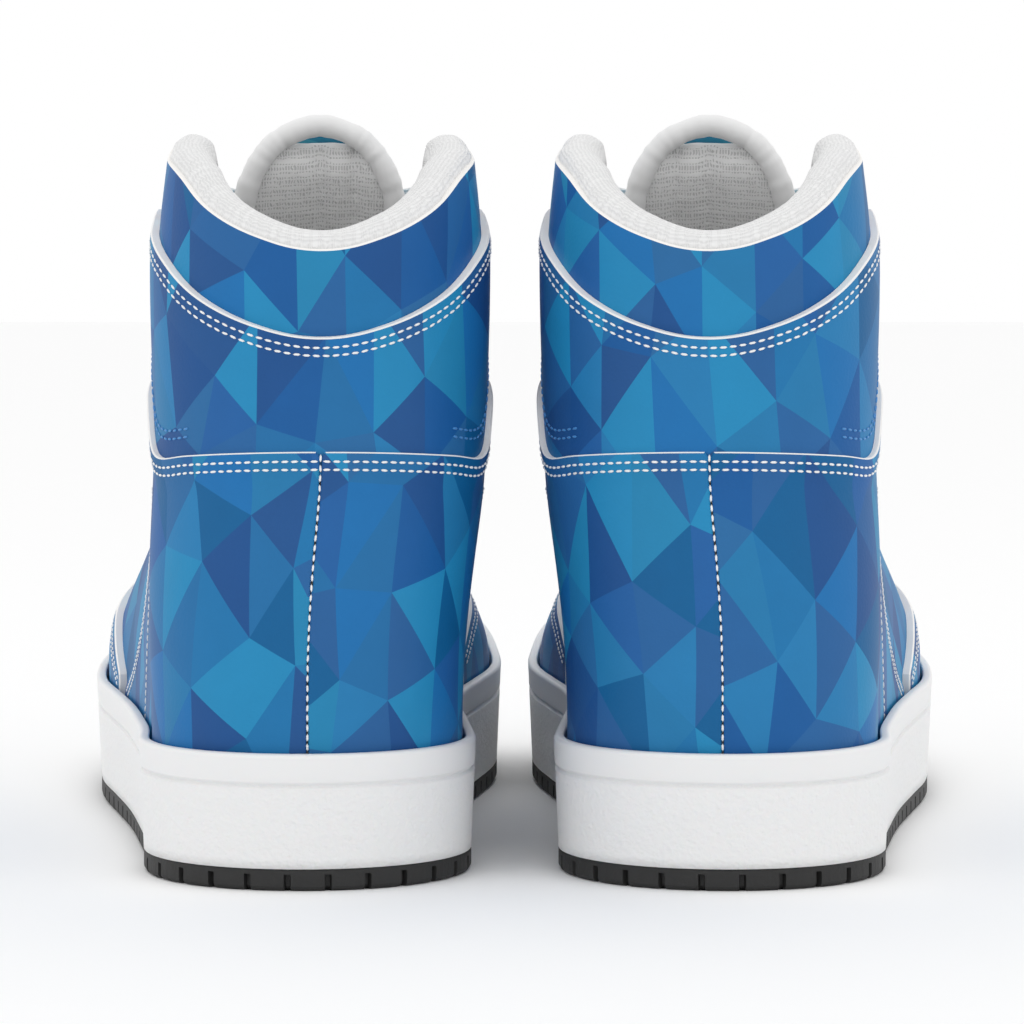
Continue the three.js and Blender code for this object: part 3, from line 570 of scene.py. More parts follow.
def leather(panel, chart=Wrapped, out=OVER_OUT, inner=OVER_IN, seed=1, palette=BLUES, raw=None, holes=(),
            spacing=2.2, chamfer=CHAMFER):
    """One cut piece of printed leather. out gives how far its face lies from the last; raw says where its cut
    edge shows white; holes are outlines punched through it."""
    outline = resampled(np.concatenate([panel.outline(chart), panel.outline(chart)[:1]]), 1.6)[:-1]
    area = np.sum(outline[:, 0] * np.roll(outline[:, 1], -1) - np.roll(outline[:, 0], -1) * outline[:, 1])
    if area < 0:
        outline = outline[::-1]
    low, high = outline.min(0), outline.max(0)
    triangles, shades = mosaic(low, high, seed, palette)
    near = np.array([np.all(t.max(0) > low) and np.all(t.min(0) < high) for t in triangles])
    triangles, shades = triangles[near], shades[near]
    rows = np.arange(low[1], high[1], spacing * 0.87)
    grid = np.array([(x + (k % 2) * spacing / 2, y) for k,
                     y in enumerate(rows) for x in np.arange(low[0], high[0], spacing)])
    tree = KDTree(len(outline))
    for k, point in enumerate(outline):
        tree.insert((*point, 0), k)
    tree.balance()
    # The print's edges are followed by lines of points, so no face is long enough to cut across the curve.
    sides = {tuple(sorted((tuple(p), tuple(q)))) for t in triangles for p, q in zip(t, np.roll(t, -1, 0))}
    print_lines = [resampled(np.array(side), spacing) for side in sorted(sides)]
    lines_tree = KDTree(sum(len(line) for line in print_lines))
    for line in print_lines:
        for point in line:
            lines_tree.insert((*point, 0), 0)
    lines_tree.balance()
    clear = [tree.find((*point, 0))[2] > spacing * 0.5 and lines_tree.find((*point,
            0))[2] > spacing * 0.55 for point in grid]
    grid = grid[np.array(clear) & inside_polygon(grid, outline)]
    points, edges = [*outline, *grid], []
    for line, closed in [(line, False) for line in print_lines] + [(hole, True) for hole in holes]:
        first = len(points)
        points += list(line)
        edges += [(first + k, first + k + 1) for k in range(len(line) - 1)]
        edges += [(len(points) - 1, first)] if closed else []
    vectors = [Vector(point) for point in points]
    flat, _, cells, _, _, owners = delaunay_2d_cdt(vectors, edges, [list(range(len(outline)))], 0, 1e-5,
                                                   True)
    uv = np.array([tuple(point) for point in flat])
    cells = np.array([cell for cell, owner in zip(cells, owners) if owner])
    for hole in holes:
        cells = cells[~inside_polygon(uv[cells].mean(1), np.asarray(hole))]
    a, b, c = uv[cells[:, 0]], uv[cells[:, 1]], uv[cells[:, 2]]
    turn = (b[:, 0] - a[:, 0]) * (c[:, 1] - a[:, 1]) - (b[:, 1] - a[:, 1]) * (c[:, 0] - a[:, 0])
    cells = cells[np.abs(turn) > 1e-7]
    turn = turn[np.abs(turn) > 1e-7]
    cells[turn < 0] = cells[turn < 0][:, ::-1]
    used, cells = np.unique(cells, return_inverse=True)
    uv, cells = uv[used], cells.reshape(-1, 3)
    colour = shades[find_triangle(uv[cells].mean(1), triangles)]
    # The rim: every edge that only one cell has, with its outward direction.
    owner = {}
    for k, (i, j, m) in enumerate(cells):
        for edge in ((i, j), (j, m), (m, i)):
            owner[edge] = k
    rim = [(edge, k) for edge, k in owner.items() if edge[::-1] not in owner]
    push = np.zeros_like(uv)
    for (i, j), _ in rim:
        along = uv[j] - uv[i]
        normal = np.array([along[1], -along[0]]) / max(np.linalg.norm(along), 1e-9)
        push[i] += normal
        push[j] += normal
    push = unit(push)
    face_out = out(uv) if callable(out) else np.full(len(uv), float(out))
    back_out = inner(uv) if callable(inner) else np.minimum(inner, face_out - 0.6)
    ends = sorted({i for edge, _ in rim for i in edge})
    index = {i: k for k, i in enumerate(ends)}
    cut = uv[ends] + chamfer * push[ends]
    phi, z = chart.solid(uv)
    cut_phi, cut_z = chart.solid(cut)
    front = chart.on(phi, z, face_out)
    back = chart.on(phi, z, back_out)
    lip = chart.on(cut_phi, cut_z, face_out[ends] - chamfer)
    foot = chart.on(cut_phi, cut_z, np.minimum(back_out[ends], face_out[ends] - chamfer - 0.05))
    outward = np.einsum("ij,ij->i", np.cross(front[cells[:, 1]] - front[cells[:, 0]],
                                             front[cells[:, 2]] - front[cells[:, 0]]),
                        (front - back)[cells[:, 0]]).sum() > 0
    flip = (lambda face: list(face)) if outward else (lambda face: list(face)[::-1])
    build = Build()
    n, m = len(uv), len(ends)
    build.facing = dict(enumerate(sheet_normals(chart, uv, out)))
    every = np.concatenate([front, back, lip, foot])
    build.add(every, [flip(cell) for cell in cells], 0, True, colour)
    # The other faces share the same points, so they're added against an empty block.
    white = raw or (lambda q: np.ones(len(q), bool))
    middles = np.array([(uv[i] + uv[j]) / 2 for (i, j), _ in rim])
    is_raw = white(middles)
    sides, sides_slot, sides_shade = [], [], []
    for ((i, j), k), cut_white in zip(rim, is_raw):
        li, lj, fi, fj = 2 * n + index[i], 2 * n + index[j], 2 * n + m + index[i], 2 * n + m + index[j]
        for quad in ((j, i, li, lj), (lj, li, fi, fj), (fj, fi, n + i, n + j)):
            sides.append(flip(quad))
            sides_slot.append(1 if cut_white else 0)
            sides_shade.append(colour[k])
    build.count = 0
    build.add(np.zeros((0, 3)), [flip(cell[::-1] + n) for cell in cells], 1, True, colour)
    build.count = 0
    build.add(np.zeros((0, 3)), sides, sides_slot, False, sides_shade)
    build.count = len(every)
    return build


# ---- Materials -----------------------------------------------------------------------------------
def node(tree, kind, inputs=(), **settings):
    """Adds one node, with its settings, and its inputs as values or as other nodes' outputs."""
    made = tree.nodes.new(kind)
    for name, value in settings.items():
        setattr(made, name, value)
    for socket, value in dict(inputs).items():
        if isinstance(value, bpy.types.NodeSocket):
            tree.links.new(value, made.inputs[socket])
        else:
            made.inputs[socket].default_value = value
    return made


def per_mm(size):
    """A texture scale, per metre of object coordinates, that repeats every size millimetres."""
    return 1.0 / (size * MM)


def surface(name, colour, roughness, **shader):
    """A material with a Principled shader, its tree, and its object coordinates."""
    material = bpy.data.materials.new(name)
    material.use_nodes = True
    tree = material.node_tree
    bsdf = next(n for n in tree.nodes if n.type == "BSDF_PRINCIPLED")
    bsdf.inputs["Roughness"].default_value = roughness
    if colour:
        bsdf.inputs["Base Color"].default_value = linear(colour)
        material.diffuse_color = linear(colour)
    for socket, value in shader.items():
        bsdf.inputs[socket.replace("_", " ")].default_value = value
    where = node(tree, "ShaderNodeTexCoord").outputs["Object"]
    return material, tree, bsdf, where


def bumped(tree, bsdf, height, strength, depth_mm):
    bump = node(tree, "ShaderNodeBump", {"Strength": strength, "Distance": depth_mm * MM, "Height": height})
    tree.links.new(bump.outputs["Normal"], bsdf.inputs["Normal"])
    return bump


def mottled(tree, bsdf, colour, where, size_mm, amount):
    """Multiplies the colour by a soft noise."""
    noise = node(tree, "ShaderNodeTexNoise", {"Vector": where, "Scale": per_mm(size_mm), "Detail": 3.0})
    span = node(tree, "ShaderNodeMapRange",
                {"Value": noise.outputs["Fac"], "To Min": 1 - amount, "To Max": 1 + amount})
    scaled = node(tree, "ShaderNodeVectorMath", {0: colour, 1: span.outputs["Result"]},
                  operation="MULTIPLY")
    tree.links.new(scaled.outputs["Vector"], bsdf.inputs["Base Color"])


def printed_leather():
    """Corrected-grain cowhide with a digital print under a clear finish: satin, with fine pebbled pores."""
    material, tree, bsdf, where = surface("printed_leather", None, 0.5, Specular_IOR_Level=0.2)
    colour = node(tree, "ShaderNodeAttribute", attribute_name="print").outputs["Color"]
    mottled(tree, bsdf, colour, where, 9.0, 0.05)
    pores = node(tree, "ShaderNodeTexVoronoi", {"Vector": where, "Scale": per_mm(0.9)})
    creases = node(tree, "ShaderNodeTexNoise", {"Vector": where, "Scale": per_mm(2.6), "Detail": 4.0})
    height = node(tree, "ShaderNodeMath", {0: pores.outputs["Distance"], 1: creases.outputs["Fac"]},
                  operation="ADD")
    bumped(tree, bsdf, height.outputs["Value"], 0.22, 0.12)
    return material


def cut_leather():
    """The white core of chrome-tanned leather where it is cut: fibrous and matt."""
    material, tree, bsdf, where = surface("cut_leather_edge", "#f5f3f0", 0.85)
    fibre = node(tree, "ShaderNodeTexNoise", {"Vector": where, "Scale": per_mm(0.5), "Detail": 5.0})
    bumped(tree, bsdf, fibre.outputs["Fac"], 0.4, 0.1)
    return material


def printed_canvas():
    """Polyester canvas with a cyan sublimation print: matt, with a fine weave."""
    material, tree, bsdf, where = surface("printed_canvas", None, 0.75)
    colour = node(tree, "ShaderNodeAttribute", attribute_name="print").outputs["Color"]
    mottled(tree, bsdf, colour, where, 5.0, 0.06)
    weave = node(tree, "ShaderNodeTexVoronoi", {"Vector": where, "Scale": per_mm(0.6)},
                 distance="CHEBYCHEV")
    bumped(tree, bsdf, weave.outputs["Distance"], 0.35, 0.1)
    return material


def sewing_thread(name, colour):
    """Bonded polyester thread, three plies with a soft gloss."""
    material, tree, bsdf, where = surface(name, colour, 0.55, Sheen_Weight=0.2)
    twist = node(tree, "ShaderNodeTexNoise", {"Vector": where, "Scale": per_mm(0.35)})
    bumped(tree, bsdf, twist.outputs["Fac"], 0.4, 0.06)
    return material


def sidewall_rubber(name, pebbled):
    """White gum rubber of a cupsole, smooth from the mould or with its pebbled texture."""
    material, tree, bsdf, where = surface(name, "#ececec", 0.5, Subsurface_Weight=0.05)
    bsdf.inputs["Subsurface Scale"].default_value = 0.001
    if pebbled:
        wobble = node(tree, "ShaderNodeTexNoise", {"Vector": where, "Scale": per_mm(2.0), "Detail": 2.0})
        moved = node(tree, "ShaderNodeMix", {"Factor": 0.0012, "A": where, "B": wobble.outputs["Color"]},
                     data_type="VECTOR").outputs[1]
        pebble = node(tree, "ShaderNodeTexVoronoi", {"Vector": moved, "Scale": per_mm(1.4)},
                      feature="SMOOTH_F1")
        fine = node(tree, "ShaderNodeTexNoise", {"Vector": where, "Scale": per_mm(0.8), "Detail": 3.0})
        height = node(tree, "ShaderNodeMath", {0: pebble.outputs["Distance"], 1: fine.outputs["Fac"]},
                      operation="ADD")
        bumped(tree, bsdf, height.outputs["Value"], 0.7, 0.3)
    else:
        soft = node(tree, "ShaderNodeTexNoise", {"Vector": where, "Scale": per_mm(6.0), "Detail": 2.0})
        bumped(tree, bsdf, soft.outputs["Fac"], 0.08, 0.2)
    return material


def outsole_rubber():
    """Black carbon-filled rubber, moulded: matt with a faint sheen and a coarse skin."""
    material, tree, bsdf, where = surface("outsole_rubber", "#202020", 0.62)
    skin = node(tree, "ShaderNodeTexNoise", {"Vector": where, "Scale": per_mm(1.1), "Detail": 4.0})
    bumped(tree, bsdf, skin.outputs["Fac"], 0.5, 0.25)
    return material


def knit(name, colour, across_mm, along_mm, depth_mm):
    """Spacer knit, read from the piece's own UV map in metres: ribs along u, with stitches along each rib,
    and painted shade darkening the colour in the hollows between them.
    """
    material, tree, bsdf, where = surface(name, colour, 0.85, Sheen_Weight=0.25)
    uv = node(tree, "ShaderNodeUVMap", uv_map="cloth").outputs["UV"]
    parts = node(tree, "ShaderNodeSeparateXYZ", {"Vector": uv})
    wobble = node(tree, "ShaderNodeTexNoise", {"Vector": where, "Scale": per_mm(7.0)})
    waves = []
    for axis, size in (("Y", across_mm), ("X", along_mm)):
        turns = node(tree, "ShaderNodeMath", {0: parts.outputs[axis], 1: 2 * math.pi * per_mm(size)},
                     operation="MULTIPLY")
        shifted_turns = node(tree, "ShaderNodeMath",
                             {0: wobble.outputs["Fac"], 1: 5.0, 2: turns.outputs["Value"]},
                             operation="MULTIPLY_ADD")
        waves.append(node(tree, "ShaderNodeMath", {0: shifted_turns.outputs["Value"]},
                          operation="SINE").outputs["Value"])
    height = node(tree, "ShaderNodeMath", {0: waves[1], 1: 0.55, 2: waves[0]}, operation="MULTIPLY_ADD")
    # Painted shade: the colour drops to 0.86 of itself where the knit is low, standing in for shade in its
    # hollows
    shade = node(tree, "ShaderNodeMapRange",
                 {"Value": height.outputs["Value"], "From Min": -1.5, "From Max": 1.0,
                                              "To Min": 0.86, "To Max": 1.0})
    hollow_shaded_colour = node(tree, "ShaderNodeVectorMath", {0: linear(colour)[:3], 1: shade.outputs["Result"]},
                  operation="MULTIPLY")
    tree.links.new(hollow_shaded_colour.outputs["Vector"], bsdf.inputs["Base Color"])
    bumped(tree, bsdf, height.outputs["Value"], 0.5, depth_mm)
    return material


def air_mesh():
    """Polyester air mesh, read from the piece's own UV map in metres: rows of small oval holes, staggered,
    with painted shade darkening the colour in the holes.
    """
    material, tree, bsdf, where = surface("air_mesh", "#e6e6e6", 0.9, Sheen_Weight=0.2)
    uv = node(tree, "ShaderNodeUVMap", uv_map="cloth").outputs["UV"]
    parts = node(tree, "ShaderNodeSeparateXYZ", {"Vector": uv})
    diagonals = []
    for sign in (1.0, -1.0):
        tilted = node(tree, "ShaderNodeMath",
                      {0: parts.outputs["Y"], 1: 0.62 * sign, 2: parts.outputs["X"]},
                      operation="MULTIPLY_ADD")
        turns = node(tree, "ShaderNodeMath", {0: tilted.outputs["Value"], 1: 2 * math.pi * per_mm(1.5)},
                     operation="MULTIPLY")
        diagonals.append(node(tree, "ShaderNodeMath", {0: turns.outputs["Value"]},
                              operation="SINE").outputs["Value"])
    lattice = node(tree, "ShaderNodeMath", {0: diagonals[0], 1: diagonals[1]}, operation="MULTIPLY")
    hole = node(tree, "ShaderNodeMapRange",
                {"Value": lattice.outputs["Value"], "From Min": 0.15, "From Max": 0.7,
                                             "To Min": 1.0, "To Max": 0.0}, interpolation_type="SMOOTHSTEP")
    # Painted shade: the colour drops to 0.72 of itself in the holes, standing in for shade inside them
    shade = node(tree, "ShaderNodeMapRange",
                 {"Value": hole.outputs["Result"], "To Min": 0.72, "To Max": 1.0})
    hollow_shaded_colour = node(tree, "ShaderNodeVectorMath", {0: linear("#e6e6e6")[:3], 1: shade.outputs["Result"]},
                  operation="MULTIPLY")
    tree.links.new(hollow_shaded_colour.outputs["Vector"], bsdf.inputs["Base Color"])
    bumped(tree, bsdf, hole.outputs["Result"], 0.6, 0.35)
    return material


def jersey(name, colour):
    """Fine tricot jersey stretched over foam: soft, with almost no visible stitch."""
    material, tree, bsdf, where = surface(name, colour, 0.8, Sheen_Weight=0.3)
    fuzz = node(tree, "ShaderNodeTexNoise", {"Vector": where, "Scale": per_mm(0.6), "Detail": 4.0})
    bumped(tree, bsdf, fuzz.outputs["Fac"], 0.25, 0.1)
    return material


def pressed_board():
    """Cellulose fibre board, as in insole boards and heel counters: flecked and matt."""
    material, tree, bsdf, where = surface("fibre_board", "#c9c2b4", 0.9)
    fleck = node(tree, "ShaderNodeTexNoise", {"Vector": where, "Scale": per_mm(1.5), "Detail": 6.0})
    bumped(tree, bsdf, fleck.outputs["Fac"], 0.3, 0.1)
    return material


def open_foam():
    """Open-cell polyurethane foam: rough with small pores."""
    material, tree, bsdf, where = surface("open_cell_foam", "#d8d8d0", 0.95)
    cells = node(tree, "ShaderNodeTexVoronoi", {"Vector": where, "Scale": per_mm(0.9)})
    bumped(tree, bsdf, cells.outputs["Distance"], 0.5, 0.3)
    return material


MAKERS = {
    "leather": printed_leather,
    "edge": cut_leather,
    "canvas": printed_canvas,
    "white_thread": lambda: sewing_thread("white_thread", "#f2f2f2"),
    "blue_thread": lambda: sewing_thread("blue_thread", "#3a86c8"),
    "smooth_rubber": lambda: sidewall_rubber("moulded_white_rubber", False),
    "pebbled_rubber": lambda: sidewall_rubber("pebbled_white_rubber", True),
    "black_rubber": outsole_rubber,
    "collar_knit": lambda: knit("collar_knit", "#ededed", 1.1, 0.8, 0.14),
    "lace_weave": lambda: knit("lace_weave", "#efefef", 1.0, 1.4, 0.2),
    "air_mesh": air_mesh,
    "jersey": lambda: jersey("tricot_jersey", "#e8e8e8"),
    "insole_cloth": lambda: jersey("insole_cloth", "#dddddd"),
    "board": pressed_board,
    "foam": open_foam,
}
MADE = {}


def material(name):
    if name not in MADE:
        MADE[name] = MAKERS[name]()
    return MADE[name]


# ---- Stitches, laid along rows by Geometry Nodes -------------------------------------------------
def stitch_tree():
    """Rows of edges become rows of thread beads, each standing on the surface its row's "out" gives."""
    tree = bpy.data.node_groups.new("stitch_rows", "GeometryNodeTree")
    tree.interface.new_socket("Rows", in_out="INPUT", socket_type="NodeSocketGeometry")
    for name in ("Pitch", "Length", "Width", "Height"):
        tree.interface.new_socket(name, in_out="INPUT", socket_type="NodeSocketFloat")
    tree.interface.new_socket("Thread", in_out="INPUT", socket_type="NodeSocketMaterial")
    tree.interface.new_socket("Stitches", in_out="OUTPUT", socket_type="NodeSocketGeometry")
    start = tree.nodes.new("NodeGroupInput").outputs
    curve = node(tree, "GeometryNodeMeshToCurve", {"Mesh": start["Rows"]})
    even = node(tree, "GeometryNodeResampleCurve",
                {"Curve": curve.outputs["Curve"], "Length": start["Pitch"]},
                mode="LENGTH")
    out = node(tree, "GeometryNodeInputNamedAttribute", {"Name": "out"}, data_type="FLOAT_VECTOR")
    stand = node(tree, "FunctionNodeAlignRotationToVector", {"Vector": out.outputs["Attribute"]}, axis="Z")
    tangent = node(tree, "GeometryNodeInputTangent")
    along = node(tree, "FunctionNodeAlignRotationToVector",
                 {"Rotation": stand.outputs["Rotation"], "Vector": tangent.outputs["Tangent"]}, axis="X",
                 pivot_axis="Z")
    wobble = node(tree, "FunctionNodeRandomValue",
                  {"Min": (-0.05, -0.05, -0.09), "Max": (0.05, 0.05, 0.09), "Seed": 7},
                  data_type="FLOAT_VECTOR")
    lean = node(tree, "FunctionNodeEulerToRotation", {"Euler": wobble.outputs["Value"]})
    turned_by = node(tree, "FunctionNodeRotateRotation",
                     {"Rotation": along.outputs["Rotation"], "Rotate By": lean.outputs["Rotation"]},
                     rotation_space="LOCAL")
    size = node(tree, "ShaderNodeCombineXYZ",
                {"X": start["Length"], "Y": start["Width"], "Z": start["Height"]})
    ball = node(tree, "GeometryNodeMeshUVSphere", {"Segments": 6, "Rings": 4, "Radius": 0.5})
    bead = node(tree, "GeometryNodeTransform",
                {"Geometry": ball.outputs["Mesh"], "Scale": size.outputs["Vector"]})
    soft = node(tree, "GeometryNodeSetShadeSmooth", {"Geometry": bead.outputs["Geometry"]})
    placed_beads = node(tree, "GeometryNodeInstanceOnPoints",
                        {"Points": even.outputs["Curve"], "Instance": soft.outputs["Geometry"],
                         "Rotation": turned_by.outputs["Rotation"]})
    real = node(tree, "GeometryNodeRealizeInstances", {"Geometry": placed_beads.outputs["Instances"]})
    node(tree, "NodeGroupOutput",
         {"Stitches": node(tree, "GeometryNodeSetMaterial",
                           {"Geometry": real.outputs["Geometry"],
                            "Material": start["Thread"]}).outputs["Geometry"]})
    return tree


def made_plain(piece):
    """The evaluated mesh in place of the piece's modifiers."""
    evaluated = piece.evaluated_get(bpy.context.evaluated_depsgraph_get())
    plain = bpy.data.meshes.new_from_object(evaluated, preserve_all_data_layers=True,
                                            depsgraph=bpy.context.evaluated_depsgraph_get())
    piece.modifiers.clear()
    piece.data = plain
    return piece


def sew(name, side, body, rows, thread, sizes):
    """rows are (points, outs) in a shoe's own frame; sizes: the bead's pitch, length, width, height."""
    points, outs, edges = [], [], []
    for row, out in rows:
        first = sum(len(p) for p in points)
        points.append(row)
        outs.append(out)
        edges += [(first + k, first + k + 1) for k in range(len(row) - 1)]
    points, outs = np.concatenate(points), np.concatenate(outs)
    mesh = bpy.data.meshes.new(name)
    mesh.from_pydata((placed(points, side) * MM).tolist(), edges, [])
    tips = placed(points + outs, side) - placed(points, side)
    mesh.attributes.new("out", "FLOAT_VECTOR", "POINT").data.foreach_set("vector", tips.ravel())
    piece = bpy.data.objects.new(name, mesh)
    bpy.context.scene.collection.objects.link(piece)
    tree = bpy.data.node_groups.get("stitch_rows") or stitch_tree()
    modifier = piece.modifiers.new("stitches", "NODES")
    modifier.node_group = tree
    values = dict(zip(("Pitch", "Length", "Width", "Height"), (size * MM for size in sizes)),
                  Thread=material(thread))
    for socket in tree.interface.items_tree:
        if socket.name in values:
            modifier[socket.identifier] = values[socket.name]
    made_plain(piece)
    piece.data.name = name
    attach(piece, body)
    return piece


def row_on(chart, line, out, raise_by=0.08):
    """A chart line as points on a surface at height out, with the directions away from it."""
    phi, z = chart.solid(line)
    height = out(line) if callable(out) else np.full(len(line), float(out))
    at = chart.on(phi, z, height + raise_by)
    return at, unit(chart.on(phi, z, height + 1) - chart.on(phi, z, height))


def beside(panel, chart, edges, distances, trim=(2, 2)):
    """Chart lines inside a panel, at distances from its named edges taken in order."""
    line = np.concatenate([panel.edge(edge, chart) for edge in edges])
    outline = panel.outline(chart)
    area = np.sum(outline[:, 0] * np.roll(outline[:, 1], -1) - np.roll(outline[:, 0], -1) * outline[:, 1])
    return [shifted(line, math.copysign(distance, area), trim) for distance in distances]


# ---- The upper's cut pieces ----------------------------------------------------------------------
LAP = 1.5  # how far a piece's edge rises where it lies over another


def heel_front(z):
    return phi_at_y(heel_panel_front(z), z)


def seam_start(z):
    return rolled(np.full(np.shape(z), 0.6), z)


HEEL_PANELS = {name: Panel(seam_start, heel_front, level(UPPER_BOTTOM), lambda y, *_: heel_panel_top(y),
                           name == "medial")
               for name in ("lateral", "medial")}


def heel_panel_height(uv):
    """The heel panel's face rises where it laps over the ankle band's hem, and is flat down its front."""
    phi, z = Wrapped.solid(uv)
    y = y_at(phi, z)
    over_hem = ease(1 - (heel_panel_top(y) - z) / 9) * (1 - ease((y - PANEL_CORNER + 8) / 14))
    return OVER_OUT + LAP * over_hem


def band_low(y, *_):
    return band_bottom(y) - HEM * (1 - ease((y - PANEL_CORNER + 6) / 8))


def around_heel(edge, low, high):
    return Panel(lambda z: -edge(z), edge, low, high)


BAND = around_heel(lambda z: phi_at_y(BAND_FRONT, z), band_low, lambda y, *_: band_top(y))
COLLAR = around_heel(lambda z: throat_edge(np.maximum(z, THROAT_START)), lambda y,
                     *_: counter_split(y) - HEM,
                     lambda y, *_: collar_edge(y))


def collar_height(uv):
    phi, z = Wrapped.solid(uv)
    return LAP * ease(1 - (z - counter_split(y_at(phi, z)) + HEM) / 12)


QUARTERS = {name: Panel(lambda z: phi_at_y(58.0, z), throat_edge, level(UPPER_BOTTOM),
                        lambda y, *_: counter_split(y) - 0.5, name == "medial") for name in ("lateral",
                                "medial")}


def quarter_height(uv):
    phi, z = Wrapped.solid(uv)
    return LAP * ease(1 - (vamp_line(z) - y_at(phi, z)) / 12) * (1 - ease((z - 70) / 10))


TOE_OVERLAY = Panel(lambda z: phi_at_y(150.0, z), lambda z: 2 * math.pi - phi_at_y(158.0, z),
                    level(UPPER_BOTTOM),
                    lambda y, *_: toe_overlay_top(y))
TOE_BOX = Panel(lambda z: phi_at_y(vamp_line(z) - HEM, z),
                lambda z: 2 * math.pi - phi_at_y(vamp_line(z) - HEM, z),
                level(42.0), level(77.0))


def eyestay_end(z):
    return np.where(z < THROAT_START, phi_at_y(vamp_line(z) - 1, z), throat_phi(z))


EYESTAYS = {name: Panel(lambda z: phi_at_y(eyestay_back(z), z), eyestay_end,
                        lambda y, *_: np.maximum(63.0, toe_overlay_top(y) + 1),
                        lambda y, *_: np.minimum(collar_edge(y) - 0.5, 170.0), name == "medial")
            for name in ("lateral", "medial")}


def eyelet_z(row):
    return mix(85.0, 164.0, row / (EYELET_ROWS - 1))


def eyelet_half(z):
    return throat_half(z) + EYELET_SETBACK


def eyelet_holes(sign):
    """Round holes on the leather, drawn in the chart, where a slope makes them shorter."""
    holes = []
    turn = np.linspace(0, 2 * math.pi, 25)[:-1]
    for row in range(EYELET_ROWS):
        z = eyelet_z(row)
        phi = sign * phi_at_half(eyelet_half(z), z)
        u = unrolled(phi, z)
        rise = np.linalg.norm(last_point(rolled(u, z + 1), z + 1) - last_point(rolled(u, z - 1), z - 1)) / 2
        holes.append(np.stack([u + EYELET_RADIUS * np.cos(turn), z + EYELET_RADIUS * np.sin(turn) / rise],
                              1))
    return holes


def cut(name, side, panel, slot_name="printed_leather", **settings):
    """One leather piece in place of the CAD node of the same name."""
    build = leather(panel, **settings)
    node_name = f"{side}_{name}"
    mesh = build.mesh(f"{node_name}_leather", side, [material("leather"), material("edge")])
    return show(mesh, SHOES, slot_name, [node_name])


def seed_of(name, side):
    """A fixed seed for each piece, so the print differs from piece to piece and from shoe to shoe."""
    return sum(ord(letter) * (k + 1) for k, letter in enumerate(name)) * 2 + (side == "right")


STITCH = (2.3, 1.9, 0.66, 0.44)  # pitch, length, width and height of the top stitching
FINE_STITCH = (1.5, 1.2, 0.42, 0.3)


def away_from_seam(uv):
    """The heel panels' edges are turned in at the seam, and cut raw elsewhere."""
    return np.abs(uv[:, 0]) > 1.4


def heel_leather(side):
    white = []
    for name, panel in HEEL_PANELS.items():
        cut(f"heel_panel_{name}", side, panel, out=heel_panel_height, inner=0.05, raw=away_from_seam,
            seed=seed_of(f"heel_{name}", side), spacing=2.0)
        for line in beside(panel, Wrapped, ["front", "top"], (2.0, 3.9), trim=(22, 1.5)):
            white.append(row_on(Wrapped, line, heel_panel_height))
        sign = -1 if name == "medial" else 1
        y = np.linspace(44, 84, 40)
        z = 92 - 60 * ((y - 44) / 40) ** 1.35
        counter_row = Wrapped.flat(sign * phi_at_y(y, z), z)
        white.append(row_on(Wrapped, resampled(counter_row, 0.8), OVER_OUT))
    z = np.arange(34.0, heel_panel_top(7) - 1, 0.8)
    centre = np.stack([np.zeros(len(z)), z], 1)
    white.append(row_on(Wrapped, centre, lambda uv: heel_panel_height(uv) - 0.3, 0))
    sew(f"{side}_heel_stitches", side, SHOES, white, "white_thread", STITCH)


def band_leather(side):
    cut("ankle_band", side, BAND, out=OVER_OUT, inner=0.05, seed=seed_of("band", side), spacing=2.0)
    white = [row_on(Wrapped, line, OVER_OUT) for line in beside(BAND, Wrapped, ["top"], (2.0, 3.9), (3, 3))]
    white += [row_on(Wrapped, line, OVER_OUT) for line in beside(BAND, Wrapped, ["front"], (2.0,), (3, 6))]
    sew(f"{side}_band_stitches", side, SHOES, white, "white_thread", STITCH)
    blue = []
    for sign in (-1, 1):
        y = np.linspace(22, 80, 60)
        for above in (4.0, 6.0):
            z = band_bottom(y) + above
            line = Wrapped.flat(sign * phi_at_y(y, z), z)
            blue.append(row_on(Wrapped, resampled(line, 0.8), OVER_OUT))
    sew(f"{side}_band_tone_stitches", side, SHOES, blue, "blue_thread", STITCH)


def collar_leather(side):
    cut("collar_panel", side, COLLAR, out=collar_height, inner=lambda uv: collar_height(uv) - LEATHER,
        seed=seed_of("collar", side), spacing=2.2)
    white = [row_on(Wrapped, line, collar_height) for line in beside(COLLAR, Wrapped, ["bottom"],
                                                                     (2.0, 3.9), (3, 3))]
    sew(f"{side}_collar_stitches", side, SHOES, white, "white_thread", STITCH)


def quarter_leather(side):
    rows = []
    for name, panel in QUARTERS.items():
        cut(f"quarter_{name}", side, panel, out=quarter_height,
            inner=lambda uv: quarter_height(uv) - LEATHER,
            seed=seed_of(f"quarter_{name}", side), spacing=2.4)
        line = panel.edge("front", Wrapped)
        line = line[(line[:, 1] > 34) & (line[:, 1] < 76)]
        for distance in (2.0, 3.9):
            sign = -1 if name == "medial" else 1
            rows.append(row_on(Wrapped, shifted(line, sign * distance, (2, 2)), quarter_height))
    sew(f"{side}_quarter_stitches", side, SHOES, rows, "white_thread", STITCH)


def toe_leather(side):
    cut("toe_overlay", side, TOE_OVERLAY, chart=RoundToe, out=OVER_OUT, inner=0.0,
        seed=seed_of("overlay", side),
        spacing=2.2)
    cut("toe_box", side, TOE_BOX, chart=Plan, out=-0.15, inner=-LEATHER - 0.1, seed=seed_of("toe", side),
        spacing=2.2)
    rows = [row_on(RoundToe, line, OVER_OUT) for line in beside(TOE_OVERLAY, RoundToe, ["top"], (2.0, 3.9),
                                                                (2, 2))]
    sew(f"{side}_toe_stitches", side, SHOES, rows, "white_thread", STITCH)


